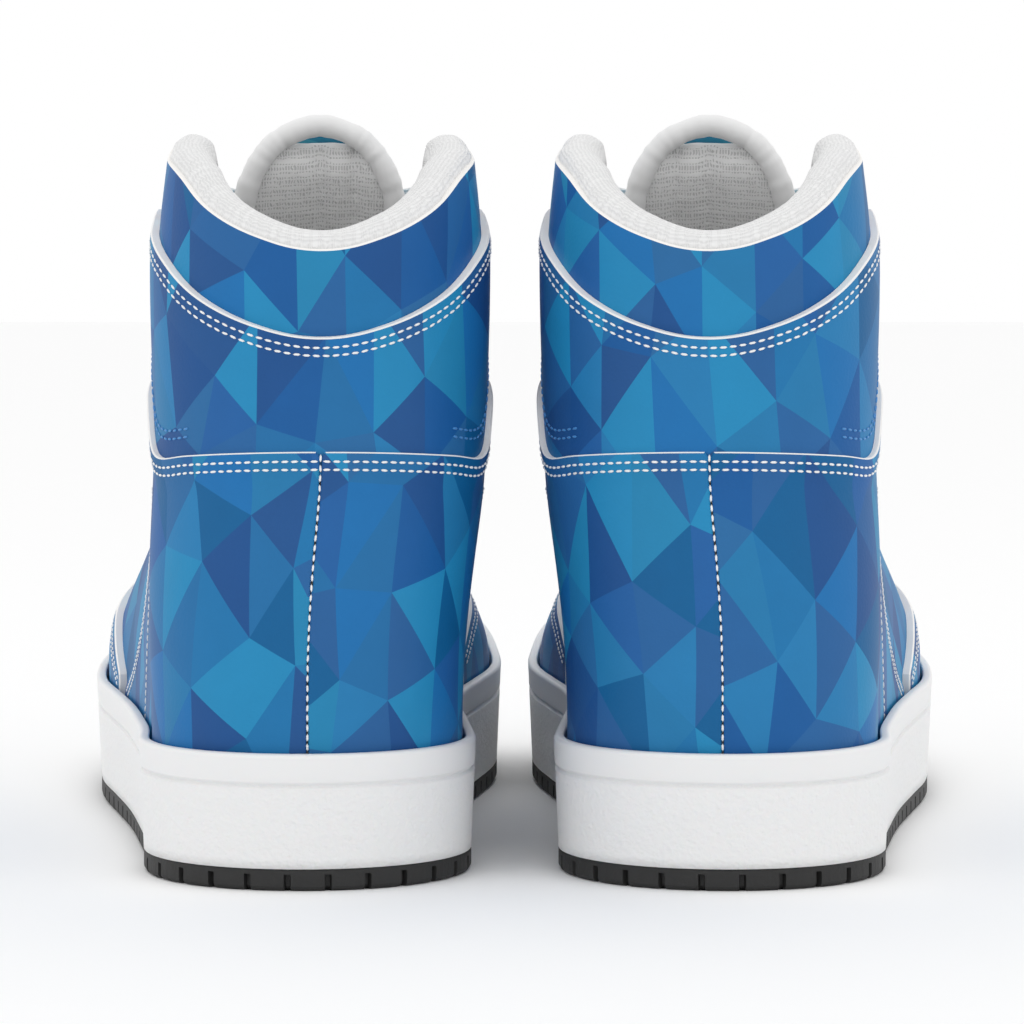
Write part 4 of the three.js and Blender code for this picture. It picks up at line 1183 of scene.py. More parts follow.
def eyestay_leather(side):
    rows = []
    for name, panel in EYESTAYS.items():
        sign = -1 if name == "medial" else 1
        cut(f"eyestay_{name}", side, panel, out=OVER_OUT, inner=0.0, holes=eyelet_holes(sign),
            seed=seed_of(f"eyestay_{name}", side), spacing=2.0)
        for edge, distances in (("back", (2.0, 3.9)), ("front", (2.0,))):
            rows += [row_on(Wrapped, line, OVER_OUT) for line in beside(panel, Wrapped, [edge], distances,
                    (3, 3))]
    sew(f"{side}_eyestay_stitches", side, SHOES, rows, "white_thread", STITCH)


# ---- Sole unit -----------------------------------------------------------------------------------
RING = 320


def ring_phis():
    """Stations round the last, evenly spaced at the cup's lip, in matching pairs on both sides."""
    dense = np.linspace(0, math.pi, 2001)
    p = on_shoe(dense, CUP_HEIGHT, CUP_OUTSIDE)
    length = np.concatenate([[0], np.cumsum(np.linalg.norm(np.diff(p, axis=0), axis=1))])
    half = np.interp(np.linspace(0, length[-1], RING // 2 + 1), length, dense)
    return np.concatenate([half, -half[-2:0:-1]])


def rings(build, profile, phis, slots=None, close=(True, True), smooth=True):
    """Skins a profile of (out, z) points swept round the last; its first and last rings can be capped."""
    n = len(phis)
    points = [on_shoe(phis, z, out) for out, z in profile]
    faces, slot_of = [], []
    for r in range(len(profile) - 1):
        for k in range(n):
            m = (k + 1) % n
            faces.append((r * n + k, r * n + m, (r + 1) * n + m, (r + 1) * n + k))
            slot_of.append(slots[r] if slots else 0)
    for r, turned_over, wanted in ((0, True, close[0]), (len(profile) - 1, False, close[1])):
        for k in range(n // 2 if wanted else 0):
            quad = [r * n + i for i in (k, k + 1, (n - k - 1) % n, (n - k) % n)]
            quad = list(dict.fromkeys(quad))
            faces.append(quad[::-1] if turned_over else quad)
            slot_of.append(slots[min(r, len(slots) - 1)] if slots else 0)
    build.add(np.concatenate(points), faces, slot_of, smooth)


def arc(centre, radius, start, end, count):
    turn = np.radians(np.linspace(start, end, count))
    return [(centre[0] + radius * math.cos(t), centre[1] + radius * math.sin(t)) for t in turn]


GROOVE_Z = 25.0


def cup_profile():
    """The cupsole's section from its foot, up the sidewall, over the lip and down inside to the floor."""
    def out_at(z):
        return CUP_OUTSIDE - CUP_FLARE * (1 - (z - OUTSOLE) / (CUP_HEIGHT - OUTSOLE))

    low = [(out_at(z), z) for z in np.linspace(OUTSOLE + 0.25, GROOVE_Z - 0.9, 9)]
    groove = [(out_at(GROOVE_Z) - deep, GROOVE_Z + dz) for deep, dz in
              ((0.05, -0.7), (0.45, -0.45), (0.8, -0.2), (0.8, 0.2), (0.45, 0.45), (0.05, 0.7))]
    high = [(out_at(z), z) for z in np.linspace(GROOVE_Z + 1.0, CUP_HEIGHT - 1.2, 4)]
    outer_lip = arc((CUP_OUTSIDE - 1.1, CUP_HEIGHT - 1.1), 1.1, 15, 90, 5)
    inner_lip = arc((CUP_INSIDE + 0.5, CUP_HEIGHT - 0.5), 0.5, 90, 180, 4)
    inside = [(CUP_INSIDE, z) for z in (26.0, 20.0, CUP_FLOOR + 0.6)] + [(CUP_INSIDE - 0.5, CUP_FLOOR)]
    profile = low + groove + high + outer_lip + inner_lip + inside
    slots = [0 if z < GROOVE_Z else 1 for _, z in profile[:-1]]
    return profile, slots


def cupsole(side):
    build = Build()
    profile, slots = cup_profile()
    rings(build, profile, ring_phis(), slots)
    materials = [material("pebbled_rubber"), material("smooth_rubber")]
    show(build.mesh(f"{side}_cupsole", side, materials), SHOES, "white_rubber", [f"{side}_midsole"])


BLOCK, GAP, GAP_DEPTH = 9.7, 1.7, 1.5  # the outsole's side blocks and the gaps between them


def outsole(side):
    foot = CUP_OUTSIDE - CUP_FLARE
    dense = np.linspace(0, math.pi, 3001)
    p = on_shoe(dense, 0.0, foot)
    length = np.concatenate([[0], np.cumsum(np.linalg.norm(np.diff(p, axis=0), axis=1))])
    at, deep = [0.0], [0.0]
    start = BLOCK / 2 - GAP / 2
    while start + GAP < length[-1] - 1:
        at += [start, start + 0.3, start + GAP - 0.3, start + GAP]
        deep += [0.0, 1.0, 1.0, 0.0]
        at += [start + GAP + (BLOCK - GAP) * share for share in (0.33, 0.67)]
        deep += [0.0, 0.0]
        start += BLOCK
    at, deep = np.array(at + [length[-1]]), np.array(deep + [0.0])
    keep = at <= length[-1]
    at, deep = at[keep], deep[keep]
    half = np.interp(at, length, dense)
    phis = np.concatenate([half, -half[-2:0:-1]])
    deep = np.concatenate([deep, deep[-2:0:-1]])
    build = Build()
    levels = [(foot - 1.4, 0.0, 1.0), (foot - 0.5, 0.25, 1.0), (foot, 1.1, 1.0), (foot, 3.7, 1.0),
              (foot, 4.0, 0.0),
              (foot, OUTSOLE - 0.35, 0.0), (foot - 0.4, OUTSOLE + 0.2, 0.0)]
    n = len(phis)
    points = [on_shoe(phis, z, out - GAP_DEPTH * share * deep) for out, z, share in levels]
    faces = [(r * n + k, r * n + (k + 1) % n, (r + 1) * n + (k + 1) % n, (r + 1) * n + k)
             for r in range(len(levels) - 1) for k in range(n)]
    for r, turned_over in ((0, True), (len(levels) - 1, False)):
        for k in range(n // 2):
            quad = list(dict.fromkeys(r * n + i for i in (k, k + 1, (n - k - 1) % n, (n - k) % n)))
            faces.append(quad[::-1] if turned_over else quad)
    build.add(np.concatenate(points), faces, 0, False)
    show(build.mesh(f"{side}_outsole_tread", side, [material("black_rubber")]), SHOES, "black_rubber",
         [f"{side}_outsole"])


INSOLE_EDGE = LINED_IN - 0.7 - 1.7 - 0.2
INSOLE_LOW, INSOLE_TOP = 17.05, 21.55


def insole(side):
    """The sock liner, dished a little under the foot."""
    build = Build()
    phis = ring_phis()
    n = len(phis)
    sides = [(INSOLE_EDGE, INSOLE_LOW), (INSOLE_EDGE, 20.6), (INSOLE_EDGE - 0.4, 21.3),
             (INSOLE_EDGE - 1.4, INSOLE_TOP)]
    rings(build, sides, phis, close=(True, False))
    top = on_shoe(phis, INSOLE_TOP, INSOLE_EDGE - 1.4)
    steps = 10
    grid = []
    for k in range(n // 2 + 1):
        a, b = top[k], top[(n - k) % n]
        for j in range(steps + 1):
            t = j / steps
            point = mix(a, b, t)
            wide = np.linalg.norm(a - b)
            point[2] -= 1.2 * math.sin(math.pi * t) * min(1, wide / 50)
            grid.append(point)
    faces = []
    for k in range(n // 2):
        for j in range(steps):
            a = k * (steps + 1) + j
            faces.append((a, a + steps + 1, a + steps + 2, a + 1))
    build.add(np.array(grid), faces)
    mesh = build.mesh(f"{side}_sock_liner", side, [material("insole_cloth")])
    show(merged(mesh), SHOES, "insole_cloth", [f"{side}_insole"])


def merged(mesh, distance=0.02):
    """Joins points that lie together, drops faces without area and turns the rest outwards."""
    work = bmesh.new()
    work.from_mesh(mesh)
    bmesh.ops.remove_doubles(work, verts=work.verts, dist=distance * MM)
    bmesh.ops.dissolve_degenerate(work, edges=work.edges, dist=1e-7)
    bmesh.ops.recalc_face_normals(work, faces=work.faces)
    work.to_mesh(mesh)
    work.free()
    return mesh


# ---- Padded pieces -------------------------------------------------------------------------------
def puffed(piece, voxel_mm, cap_mm, pinned=None):
    """Swells a closed mesh by cloth pressure, each point held to cap_mm, and leaves a plain finer mesh."""
    remesh = piece.modifiers.new("remesh", "REMESH")
    remesh.mode = "VOXEL"
    remesh.voxel_size = voxel_mm * MM
    made_plain(piece)
    rest = np.array([v.co[:] for v in piece.data.vertices])
    if pinned is not None:
        group = piece.vertex_groups.new(name="sewn")
        for k, held in enumerate(pinned(rest)):
            if held > 0:
                group.add([k], float(held), "REPLACE")
    cloth = piece.modifiers.new("cloth", "CLOTH")
    cloth.settings.use_pressure = True
    cloth.settings.uniform_pressure_force = 4.0
    cloth.settings.effector_weights.gravity = 0.0
    cloth.settings.quality = 4
    if pinned is not None:
        cloth.settings.vertex_group_mass = "sewn"
    scene = bpy.context.scene
    for step in range(1, 21):
        scene.frame_set(step)
    made_plain(piece)
    scene.frame_set(1)
    swollen = np.array([v.co[:] for v in piece.data.vertices])
    moved = swollen - rest
    far = np.linalg.norm(moved, axis=1, keepdims=True)
    limited = rest + moved * np.minimum(1, cap_mm * MM / np.maximum(far, 1e-9))
    piece.data.vertices.foreach_set("co", limited.ravel())
    piece.vertex_groups.clear()
    finer = piece.modifiers.new("finer", "SUBSURF")
    finer.levels = finer.render_levels = 1
    made_plain(piece)
    piece.data.polygons.foreach_set("use_smooth", [True] * len(piece.data.polygons))
    return piece


def lay_cloth(piece, samples, uvs):
    """Gives the piece a UV map in metres from the nearest of the sampled points."""
    tree = KDTree(len(samples))
    for k, point in enumerate(samples):
        tree.insert(point, k)
    tree.balance()
    layer = piece.data.uv_layers.new(name="cloth")
    of_vertex = []
    for vertex in piece.data.vertices:
        near = tree.find_n(vertex.co, 3)
        weight = np.array([1 / (distance + 1e-6) for _, _, distance in near])
        of_vertex.append(weight @ uvs[[k for _, k, _ in near]] / weight.sum())
    coords = np.array([of_vertex[loop.vertex_index] for loop in piece.data.loops])
    layer.data.foreach_set("uv", coords.ravel())


COLLAR_PAD_DEPTH = 36.0
PAD_OUT, PAD_IN, PAD_TOP = -LEATHER - 0.3, -11.0, 4.6
ROLL_OUT = -0.6  # the padding's roll reaches out over the leather's edge
COLLAR_END = 34.0


def collar_edge_at(phi):
    z = np.full(np.shape(phi), 160.0)
    for _ in range(14):
        z = collar_edge(y_at(phi, z))
    return z


def collar_section(count=14):
    """The padding's section: (out, above the collar's edge), round on top and thinning to its lower edge."""
    middle, half = (ROLL_OUT + PAD_IN) / 2, (ROLL_OUT - PAD_IN) / 2
    turn = np.linspace(0, math.pi, count)
    roll = [(middle + half * math.cos(t), PAD_TOP - 3.9 + 3.9 * math.sin(t) ** 0.8) for t in turn]
    inner = [(PAD_IN + 0.4, -6), (PAD_IN + 0.2, -14), (PAD_IN + 0.8, -22), (PAD_IN + 2.2, -30),
             (PAD_IN + 4.4, -35)]
    return roll + inner + [(PAD_OUT - 1.6, -COLLAR_PAD_DEPTH), (PAD_OUT, -34), (PAD_OUT, -20),
                           (PAD_OUT, -6)]


def collar_padding(side):
    section = np.array(collar_section())
    end = float(phi_at_half(COLLAR_END, np.array(172.0)))
    phis = np.linspace(-end, end, 90)
    edge = collar_edge_at(phis)
    points, uvs = [], []
    around = np.concatenate([[0], np.cumsum(np.linalg.norm(np.diff(section, axis=0), axis=1))])
    for k, (phi, z) in enumerate(zip(phis, edge)):
        narrowing = 1 - 0.35 * ease((abs(phi) / end - 0.93) / 0.07)  # the ends close softly
        middle = section.mean(0)
        ring = middle + (section - middle) * [narrowing, 1 - 0.12 * (1 - narrowing)]
        points.append(on_shoe(phi, z + ring[:, 1], ring[:, 0]))
    points = np.array(points)
    along = np.concatenate([[0], np.cumsum(np.linalg.norm(np.diff(points[:, 0], axis=0), axis=1))])
    for length in along:
        uvs += [(length * MM, v * MM) for v in around]
    count = len(section)
    faces = []
    for k in range(len(phis) - 1):
        for j in range(count):
            a, b = k * count + j, k * count + (j + 1) % count
            faces.append((a, b, b + count, a + count))
    faces += [tuple(range(count)), tuple(range((len(phis) - 1) * count, len(phis) * count))[::-1]]
    build = Build()
    build.add(points, faces)
    mesh = merged(build.mesh(f"{side}_collar_padding", side, [material("collar_knit")]))
    piece = bpy.data.objects.new(mesh.name, mesh)
    bpy.context.scene.collection.objects.link(piece)
    puffed(piece, 2.2, 0.9)
    lay_cloth(piece, placed(points.reshape(-1, 3), side) * MM, np.array(uvs))
    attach(piece, SHOES)
    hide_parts(f"{side}_collar_lining", f"{side}_collar_foam")


def quarter_lining(side):
    split = through([[UPPER_BOTTOM, 130], [76, 179]])
    front = lambda z: np.where(z < 76, phi_at_y(split(z), z), throat_phi(z) - 0.02)
    panel = around_heel(front, level(UPPER_BOTTOM), lambda y,
                        phi: collar_edge_at(phi) - COLLAR_PAD_DEPTH - 1.0)
    build = leather(panel, out=LINED_OUT, inner=LINED_IN, seed=3, spacing=4.0, chamfer=0.3)
    mesh = build.mesh(f"{side}_quarter_lining_cloth", side, [material("jersey")] * 2)
    show(mesh, SHOES, "white_textile", [f"{side}_quarter_lining"])


# ---- Tongue --------------------------------------------------------------------------------------
TONGUE_FROM, TONGUE_TO = 82.0, 184.0
TONGUE_INSET = -LINED_IN + 1.7
TONGUE_BEND = 34.0
TONGUE_COVER = 1.4
TONGUE_HALF = 24.5
TONGUE_LENGTH = (TONGUE_TO - TONGUE_FROM) * 1.2
PAD_FROM_DEPTH = TONGUE_COVER + SEAM_GAP
ROLL_RADIUS = 3.0
COVER_TOP = 0.965  # the cover stops short of the tongue's top, behind the rolled edge
tongue_share = through([[0, 0.66], [0.35, 0.86], [0.7, 1], [0.84, 0.97], [0.93, 0.8], [0.98, 0.55],
                        [1, 0.36]])


def on_tongue(x, along, depth):
    x, along, depth = np.broadcast_arrays(np.asarray(x, float), np.asarray(along, float),
                                          np.asarray(depth, float))
    z = mix(TONGUE_FROM, TONGUE_TO, along)
    slope = ridge_y(z + 0.5) - ridge_y(z - 0.5)
    size = np.sqrt(1 + slope**2)
    sink = TONGUE_INSET + depth + TONGUE_BEND - np.sqrt(np.maximum(TONGUE_BEND**2 - x * x, 0))
    y = ridge_y(z)
    return np.stack([centre_at(y, z) + x, y - sink / size, z + slope * sink / size], -1)


def tongue_half(along, edge=0.0):
    return TONGUE_HALF * tongue_share(along) - edge


class Tongue:
    """The chart of the tongue: x across it and its length along it."""

    @staticmethod
    def solid(uv):
        return uv[:, 0], uv[:, 1] / TONGUE_LENGTH

    @staticmethod
    def on(x, along, out):
        return on_tongue(x, np.clip(along, -0.01, 1.01), -np.asarray(out))

    @staticmethod
    def outline(_):
        along = np.linspace(0, COVER_TOP, 60)
        side = np.stack([tongue_half(along) - 3.0 * ease((along - 0.7) / 0.2), along * TONGUE_LENGTH], 1)
        return np.concatenate([side, (side * [-1, 1])[::-1]])


def tongue_cover(side):
    build = leather(Tongue, chart=Tongue, out=0.0, inner=-TONGUE_COVER, seed=seed_of("tongue", side),
                    palette=CYANS,
                    spacing=2.2, chamfer=0.3)
    mesh = build.mesh(f"{side}_tongue_canvas", side, [material("canvas"), material("canvas")])
    show(mesh, f"{side}_tongue", "printed_cloth", [f"{side}_tongue_cover"])
    outline = Tongue.outline(None)[8:-8]
    rows = [row_on(Tongue, shifted(outline, 1.6, (2, 2)), 0.0)]
    sew(f"{side}_tongue_stitches", side, f"{side}_tongue", rows, "blue_thread",
        FINE_STITCH)


def tongue_roll(side):
    """The bound edge: a soft tube up one side of the pad, over its top and down the other."""
    reach = np.array([0.4, 0.55, 0.7, 0.8, 0.88, 0.94, 0.975])
    depth = PAD_FROM_DEPTH + ROLL_RADIUS + 1
    one = on_tongue(-tongue_half(reach, 4.5), reach, depth)
    other = on_tongue(tongue_half(reach, 4.5), reach, depth)
    stops = [Vector(p) for p in (*one, on_tongue(0.0, 1.0, depth), *other[::-1])]
    path = smooth_path(stops, 14)
    rng = random.Random(5)
    phases = [rng.uniform(0, 6.28) for _ in range(4)]
    n, turn_count = len(path), 20
    build, points = Build(), []
    across = Vector((0, 1, 0.2)).normalized()
    for k, point in enumerate(path):
        along = (path[min(k + 1, n - 1)] - path[max(k - 1, 0)]).normalized()
        side_way = (across - along * across.dot(along)).normalized()
        up = along.cross(side_way)
        ripple = sum(math.sin(k * f + phase) for f, phase in zip((0.31, 0.53, 0.83, 1.27), phases)) * 0.05
        taper = min(1, 0.35 + 0.65 * math.sin(math.pi / 2 * min(1, min(k, n - 1 - k) / 5)))
        radius = (ROLL_RADIUS - 0.15 + ripple) * taper
        for j in range(turn_count):
            t = 2 * math.pi * j / turn_count
            points.append(point + (side_way * math.cos(t) + up * math.sin(t)) * radius)
    faces = [(k * turn_count + j, k * turn_count + (j + 1) % turn_count,
              (k + 1) * turn_count + (j + 1) % turn_count,
              (k + 1) * turn_count + j) for k in range(n - 1) for j in range(turn_count)]
    faces += [tuple(range(turn_count))[::-1], tuple(range((n - 1) * turn_count, n * turn_count))]
    build.add(np.array([tuple(p) for p in points]), faces)
    mesh = merged(build.mesh(f"{side}_tongue_binding", side, [material("jersey")]))
    show(mesh, f"{side}_tongue", "white_textile", [f"{side}_tongue_edge_roll"])


def smooth_path(stops, per_span):
    """A centripetal Catmull-Rom curve through the stops."""
    ends = [stops[0] * 2 - stops[1], *stops, stops[-1] * 2 - stops[-2]]
    path = []
    for a, b, c, d in zip(ends, ends[1:], ends[2:], ends[3:]):
        t1 = (b - a).length ** 0.5
        t2 = t1 + (c - b).length ** 0.5
        t3 = t2 + (d - c).length ** 0.5
        for step in range(per_span):
            t = mix(t1, t2, step / per_span)
            ab, bc, cd = a.lerp(b, t / t1), b.lerp(c, (t - t1) / (t2 - t1)), c.lerp(d, (t - t2) / (t3 - t2))
            abc, bcd = ab.lerp(bc, t / t2), bc.lerp(cd, (t - t1) / (t3 - t1))
            path.append(abc.lerp(bcd, (t - t1) / (t2 - t1)))
    return path + [stops[-1]]


CREASE_X, FOLD_X = 0.0, 9.0  # the seam down the tongue's lining and the fold beside it
TONGUE_PAD_TOP, TONGUE_PAD_EDGE = 5.5, 8.0


def tongue_padding(side):
    """The tongue's padded lining, with a seam down its middle and a fold beside it."""
    cols, rows = 34, 60
    low, high = 0.03, 1 - TONGUE_PAD_TOP / TONGUE_LENGTH
    points, uvs, faces = [], [], []

    def thickness(x, along, half):
        edge = 1 - (abs(x) / half) ** 4 * 0.35
        top = 1 - 0.4 * ease((along - high + 0.06) / 0.06)
        crease = 2.6 * math.exp(-(((x - CREASE_X) / 1.5) ** 2)) + 1.5 * math.exp(-(((x
                - FOLD_X) / 1.6) ** 2))
        return max(1.2, 7.0 * edge * top - crease)

    for face in (0, 1):
        for k in range(rows + 1):
            along = mix(low, high, k / rows)
            half = float(tongue_half(along, TONGUE_PAD_EDGE)) + 2.6
            for j in range(cols + 1):
                x = half * mix(-1, 1, j / cols)
                depth = PAD_FROM_DEPTH + (thickness(x, along, half) if face else 0.2)
                points.append(on_tongue(x, along, depth))
                uvs.append((x * MM, along * TONGUE_LENGTH * MM))
    at = lambda face, k, j: face * (rows + 1) * (cols + 1) + k * (cols + 1) + j
    for k in range(rows):
        for j in range(cols):
            quad = (at(0, k, j), at(0, k, j + 1), at(0, k + 1, j + 1), at(0, k + 1, j))
            faces += [quad[::-1], tuple(i + at(1, 0, 0) for i in quad)]
    for k in range(rows):
        for j in (0, cols):
            quad = (at(0, k, j), at(0, k + 1, j), at(1, k + 1, j), at(1, k, j))
            faces.append(quad if j else quad[::-1])
    for j in range(cols):
        for k in (0, rows):
            quad = (at(0, k, j), at(0, k, j + 1), at(1, k, j + 1), at(1, k, j))
            faces.append(quad[::-1] if k else quad)
    build = Build()
    build.add(np.array(points), faces)
    mesh = merged(build.mesh(f"{side}_tongue_lining", side, [material("air_mesh")]))
    piece = bpy.data.objects.new(mesh.name, mesh)
    bpy.context.scene.collection.objects.link(piece)
    seam = placed(on_tongue(np.full(90, CREASE_X), np.linspace(low, high, 90), PAD_FROM_DEPTH + 4.4),
                  side) * MM

    def sewn(at_points):
        tree = KDTree(len(seam))
        for k, point in enumerate(seam):
            tree.insert(point, k)
        tree.balance()
        return [1.0 if tree.find(point)[2] < 2.6 * MM else 0.0 for point in at_points]

    puffed(piece, 1.7, 0.7, sewn)
    lay_cloth(piece, placed(np.array(points), side) * MM, np.array(uvs))
    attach(piece, f"{side}_tongue")
    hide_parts(f"{side}_tongue_padding")


# ---- Laces ---------------------------------------------------------------------------------------
LACE_WIDTH, LACE_THICKNESS = 7.0, 1.3
LACE_UNDER = OVER_OUT + 1.0
LACE_SAG = LACE_UNDER + TONGUE_INSET - 1.6


def lace_run(build, row_a, sign, row_b, lift):
    """One flat strap from an eyelet, down onto the tongue and up to the eyelet on the other side."""
    a, b = eyelet_z(row_a), eyelet_z(row_b)
    # How far along, how far out from the centre (as a share of eyelet to throat to middle), drop and width.
    stations = [(0.0, 0, -2.6, 0.5), (0.05, 0.06, 0.0, 0.7), (0.13, 0.4, 0.35, 0.95), (0.27, 1.0, 0.0, 1.0),
                (0.4, 1.6, -0.8, 1.0), (0.5, 2.0, -1.0, 1.0)]
    table = np.array(stations + [(1 - t, 4 - s, d, w) for t, s, d, w in stations[-2::-1]])
    t = np.linspace(0, 1, 40)
    columns = [through(table[:, [0, k]])(t) for k in (1, 2, 3)]
    share, drop, wide = (column[:, None] for column in columns)
    section = ((-1, 0.25), (-0.9, 0), (0.9, 0), (1, 0.25), (1, 0.75), (0.9, 1), (-0.9, 1), (-1, 0.75))
    across, thick = np.array(section).T
    inward = np.where(share <= 2, share, 4 - share)
    z = mix(a, b, t)[:, None]
    half = mix(eyelet_half(z), throat_half(z), np.minimum(inward, 1)) * np.minimum(1, 2 - inward)
    out = LACE_UNDER + np.where((drop < 0) & (inward > 1), drop * LACE_SAG,
                                drop) + lift * ease((inward - 0.9) / 0.9)
    at_z = z + across * wide * LACE_WIDTH * 0.4
    phi = np.where(share <= 2, sign, -sign) * phi_at_half(np.maximum(half, 0.02) + 0 * at_z, at_z)
    points = on_shoe(phi, at_z, out + thick * LACE_THICKNESS)
    n = len(t)
    faces = [(k * 8 + j, k * 8 + (j + 1) % 8, (k + 1) * 8 + (j + 1) % 8, (k + 1) * 8 + j)
             for k in range(n - 1) for j in range(8)]
    faces += [tuple(range(8))[::-1], tuple(range((n - 1) * 8, n * 8))]
    build.add(np.array(points), faces)


def laces(side):
    build = Build()
    lace_run(build, 0, 1, 0, 0.0)
    for row in range(EYELET_ROWS - 1):
        for sign in (1, -1):
            lace_run(build, row, sign, row + 1, 0.2 if sign == (1 if row % 2 else -1) else 1.6)
    mesh = merged(build.mesh(f"{side}_flat_laces", side, [material("lace_weave")]), 0.001)
    points = np.array([v.co[:] for v in mesh.vertices])
    layer = mesh.uv_layers.new(name="cloth")
    layer.data.foreach_set("uv", points[[loop.vertex_index for loop in mesh.loops]][:, [0, 2]].ravel())
    show(mesh, SHOES, "white_textile", [f"{side}_lace"])


HIDDEN = {"heel_counter": "board", "toe_puff": "board", "strobel_board": "board", "heel_cushion": "foam",
          "vamp_lining": "jersey"}


def finish_hidden(side):
    for name, finish in HIDDEN.items():
        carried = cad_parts[f"{side}_{name}"]
        for holder in carried.material_slots:
            holder.link = "OBJECT"
            holder.material = material(finish)


# ---- Stage ---------------------------------------------------------------------------------------
def stage(settings):
    scene = bpy.context.scene
    reach = settings.floor_size / 2
    floor_mesh = bpy.data.meshes.new("studio_floor")
    floor_mesh.from_pydata([(-reach, -reach, 0), (reach, -reach, 0), (reach, reach, 0), (-reach, reach, 0)],
                           [], [(0, 1, 2, 3)])
    floor = bpy.data.objects.new("studio_floor", floor_mesh)
    scene.collection.objects.link(floor)
    paper, tree, bsdf, where = surface("seamless_paper", "#fbfbfb", 0.95)
    fibre = node(tree, "ShaderNodeTexNoise", {"Vector": where, "Scale": per_mm(3.0), "Detail": 2.0})
    bumped(tree, bsdf, fibre.outputs["Fac"], 0.05, 0.05)
    floor_mesh.materials.append(paper)
    world = bpy.data.worlds.new("white_studio")
    world.use_nodes = True
    background = next(n for n in world.node_tree.nodes if n.type == "BACKGROUND")
    background.inputs["Color"].default_value = (1, 1, 1, 1)
    background.inputs["Strength"].default_value = settings.room_light
    scene.world = world
    for name, place, size, power in (
        ("softbox_above", (0.0, -0.25, 1.3), 1.1, settings.top_light),
        ("softbox_left", (-1.1, -0.9, 0.7), 0.7, settings.side_light),
        ("softbox_right", (1.1, -0.8, 0.6), 0.7, settings.side_light * 0.8),
    ):
        light = bpy.data.lights.new(name, "AREA")
        light.shape, light.size, light.energy = "DISK", size, power
        lamp = bpy.data.objects.new(name, light)
        lamp.location = place
        lamp.rotation_euler = (Vector((0, 0, 0.07)) - Vector(place)).to_track_quat("-Z", "Y").to_euler()
        scene.collection.objects.link(lamp)
    eye = bpy.data.cameras.new("studio_camera")
    eye.lens, eye.sensor_width, eye.clip_start = settings.lens, 36.0, 0.01
    camera = bpy.data.objects.new("studio_camera", eye)
    camera.location = (-0.0007, CAD_BOX[0][1] - settings.camera_distance, settings.camera_height)
    camera.rotation_euler = (math.radians(90) - settings.camera_pitch, 0, 0)
    scene.collection.objects.link(camera)
    scene.camera = camera
    scene.view_settings.view_transform = "Standard"


# ---- Settings, operators and panel ---------------------------------------------------------------
class StageSettings(bpy.types.PropertyGroup):
    camera_distance: FloatProperty(name="Camera distance", description="From the heels to the camera",
                                   default=1.150, unit="LENGTH")
    camera_height: FloatProperty(name="Camera height", description="Above the floor", default=0.171,
                                 unit="LENGTH")
    camera_pitch: FloatProperty(name="Camera pitch", description="How far the camera looks down",
                                default=math.radians(4.05), subtype="ANGLE")
    lens: FloatProperty(name="Lens", description="Focal length on a 36 mm sensor", default=173.5)
    floor_size: FloatProperty(name="Floor size", description="Width of the paper floor", default=8.0,
                              unit="LENGTH")
    room_light: FloatProperty(name="Room light", description="Strength of the white surroundings",
                              default=1.0)
    top_light: FloatProperty(name="Top light", description="Power of the softbox above, in watts",
                             default=0.8)
    side_light: FloatProperty(name="Side light", description="Power of each side softbox, in watts",
                              default=0.45)


class OnBothShoes:
    """What the pieces' operators share: each builds its piece on the left shoe, then on the right."""

    bl_options = {"REGISTER", "UNDO"}

    def execute(self, context):
        for side in SIDES:
            self.build(side)
        return {"FINISHED"}


class HIGHTOP_OT_cupsole(OnBothShoes, bpy.types.Operator):
    """Moulds the white cupsoles."""

    bl_idname = "hightop.cupsole"
    bl_label = "Cupsoles"
    build = staticmethod(cupsole)


class HIGHTOP_OT_outsole(OnBothShoes, bpy.types.Operator):
    """Cuts the black outsoles with their side blocks."""

    bl_idname = "hightop.outsole"
    bl_label = "Outsoles"
    build = staticmethod(outsole)


class HIGHTOP_OT_insole(OnBothShoes, bpy.types.Operator):
    """Lays the sock liners."""

    bl_idname = "hightop.insole"
    bl_label = "Insoles"
    build = staticmethod(insole)


class HIGHTOP_OT_heel(OnBothShoes, bpy.types.Operator):
    """Sews the heel panels along the back seam."""

    bl_idname = "hightop.heel"
    bl_label = "Heel panels"
    build = staticmethod(heel_leather)


class HIGHTOP_OT_band(OnBothShoes, bpy.types.Operator):
    """Sews the ankle bands."""

    bl_idname = "hightop.band"
    bl_label = "Ankle bands"
    build = staticmethod(band_leather)


class HIGHTOP_OT_collar(OnBothShoes, bpy.types.Operator):
    """Sews the collar panels."""

    bl_idname = "hightop.collar"
    bl_label = "Collar panels"
    build = staticmethod(collar_leather)


class HIGHTOP_OT_quarters(OnBothShoes, bpy.types.Operator):
    """Sews the quarters."""

    bl_idname = "hightop.quarters"
    bl_label = "Quarters"
    build = staticmethod(quarter_leather)


class HIGHTOP_OT_toe(OnBothShoes, bpy.types.Operator):
    """Sews the toe boxes and their overlays."""

    bl_idname = "hightop.toe"
    bl_label = "Toes"
    build = staticmethod(toe_leather)


class HIGHTOP_OT_eyestays(OnBothShoes, bpy.types.Operator):
    """Punches and sews the eyestays."""

    bl_idname = "hightop.eyestays"
    bl_label = "Eyestays"
    build = staticmethod(eyestay_leather)


class HIGHTOP_OT_lining(OnBothShoes, bpy.types.Operator):
    """Hangs the quarter linings."""

    bl_idname = "hightop.lining"
    bl_label = "Linings"
    build = staticmethod(quarter_lining)


class HIGHTOP_OT_collar_padding(OnBothShoes, bpy.types.Operator):
    """Pads the collars."""

    bl_idname = "hightop.collar_padding"
    bl_label = "Collar padding"
    build = staticmethod(collar_padding)


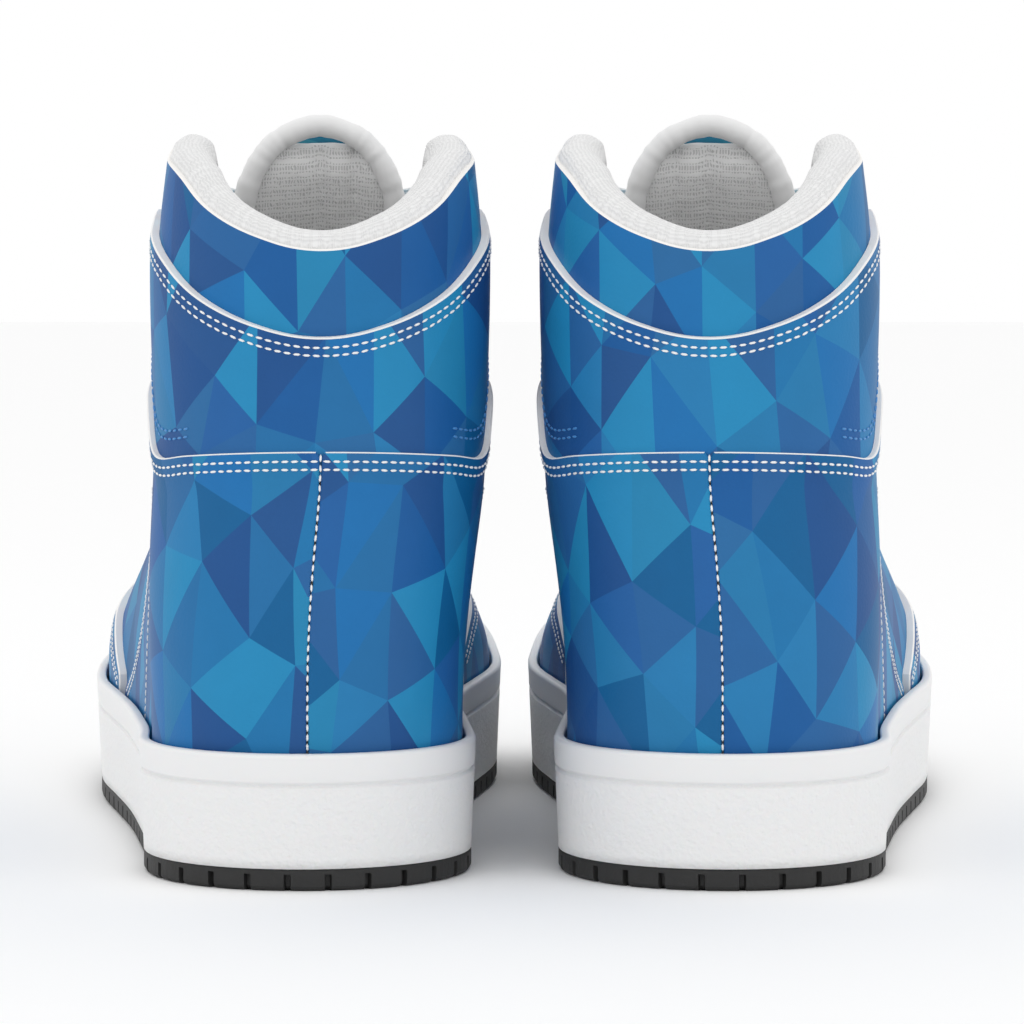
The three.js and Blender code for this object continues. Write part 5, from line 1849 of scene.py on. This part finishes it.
class HIGHTOP_OT_tongue_cover(OnBothShoes, bpy.types.Operator):
    """Cuts the tongues' printed covers."""

    bl_idname = "hightop.tongue_cover"
    bl_label = "Tongue covers"
    build = staticmethod(tongue_cover)


class HIGHTOP_OT_tongue_roll(OnBothShoes, bpy.types.Operator):
    """Rolls the tongues' bound edges."""

    bl_idname = "hightop.tongue_roll"
    bl_label = "Tongue bindings"
    build = staticmethod(tongue_roll)


class HIGHTOP_OT_tongue_padding(OnBothShoes, bpy.types.Operator):
    """Pads and seams the tongues' linings."""

    bl_idname = "hightop.tongue_padding"
    bl_label = "Tongue padding"
    build = staticmethod(tongue_padding)


class HIGHTOP_OT_laces(OnBothShoes, bpy.types.Operator):
    """Laces the shoes."""

    bl_idname = "hightop.laces"
    bl_label = "Laces"
    build = staticmethod(laces)


class HIGHTOP_OT_hidden(OnBothShoes, bpy.types.Operator):
    """Finishes the boards, foams and vamp linings inside."""

    bl_idname = "hightop.hidden"
    bl_label = "Hidden parts"
    build = staticmethod(finish_hidden)


class HIGHTOP_OT_stage(bpy.types.Operator):
    """Sets the floor, lights and camera."""

    bl_idname = "hightop.stage"
    bl_label = "Stage"

    def execute(self, context):
        stage(context.scene.high_top_stage)
        return {"FINISHED"}


OPERATORS = [
    HIGHTOP_OT_cupsole,
    HIGHTOP_OT_outsole,
    HIGHTOP_OT_insole,
    HIGHTOP_OT_heel,
    HIGHTOP_OT_band,
    HIGHTOP_OT_collar,
    HIGHTOP_OT_quarters,
    HIGHTOP_OT_toe,
    HIGHTOP_OT_eyestays,
    HIGHTOP_OT_lining,
    HIGHTOP_OT_collar_padding,
    HIGHTOP_OT_tongue_cover,
    HIGHTOP_OT_tongue_roll,
    HIGHTOP_OT_tongue_padding,
    HIGHTOP_OT_laces,
    HIGHTOP_OT_hidden,
    HIGHTOP_OT_stage,
]


class HIGHTOP_PT_panel(bpy.types.Panel):
    """Lists the operators in the order they are run."""

    bl_label = "High tops"
    bl_space_type = "VIEW_3D"
    bl_region_type = "UI"
    bl_category = "High tops"

    def draw(self, context):
        settings = context.scene.high_top_stage
        for name in settings.__annotations__:
            self.layout.prop(settings, name)
        for operator in OPERATORS:
            self.layout.operator(operator.bl_idname)


CLASSES = [StageSettings, *OPERATORS, HIGHTOP_PT_panel]


def register():
    for one in CLASSES:
        bpy.utils.register_class(one)
    bpy.types.Scene.high_top_stage = PointerProperty(type=StageSettings)


def unregister():
    del bpy.types.Scene.high_top_stage
    for one in reversed(CLASSES):
        bpy.utils.unregister_class(one)


def main():
    register()
    for operator in OPERATORS:
        group, name = operator.bl_idname.split(".")
        getattr(getattr(bpy.ops, group), name)()
    bpy.context.view_layer.update()


if __name__ == "__main__":
    main()
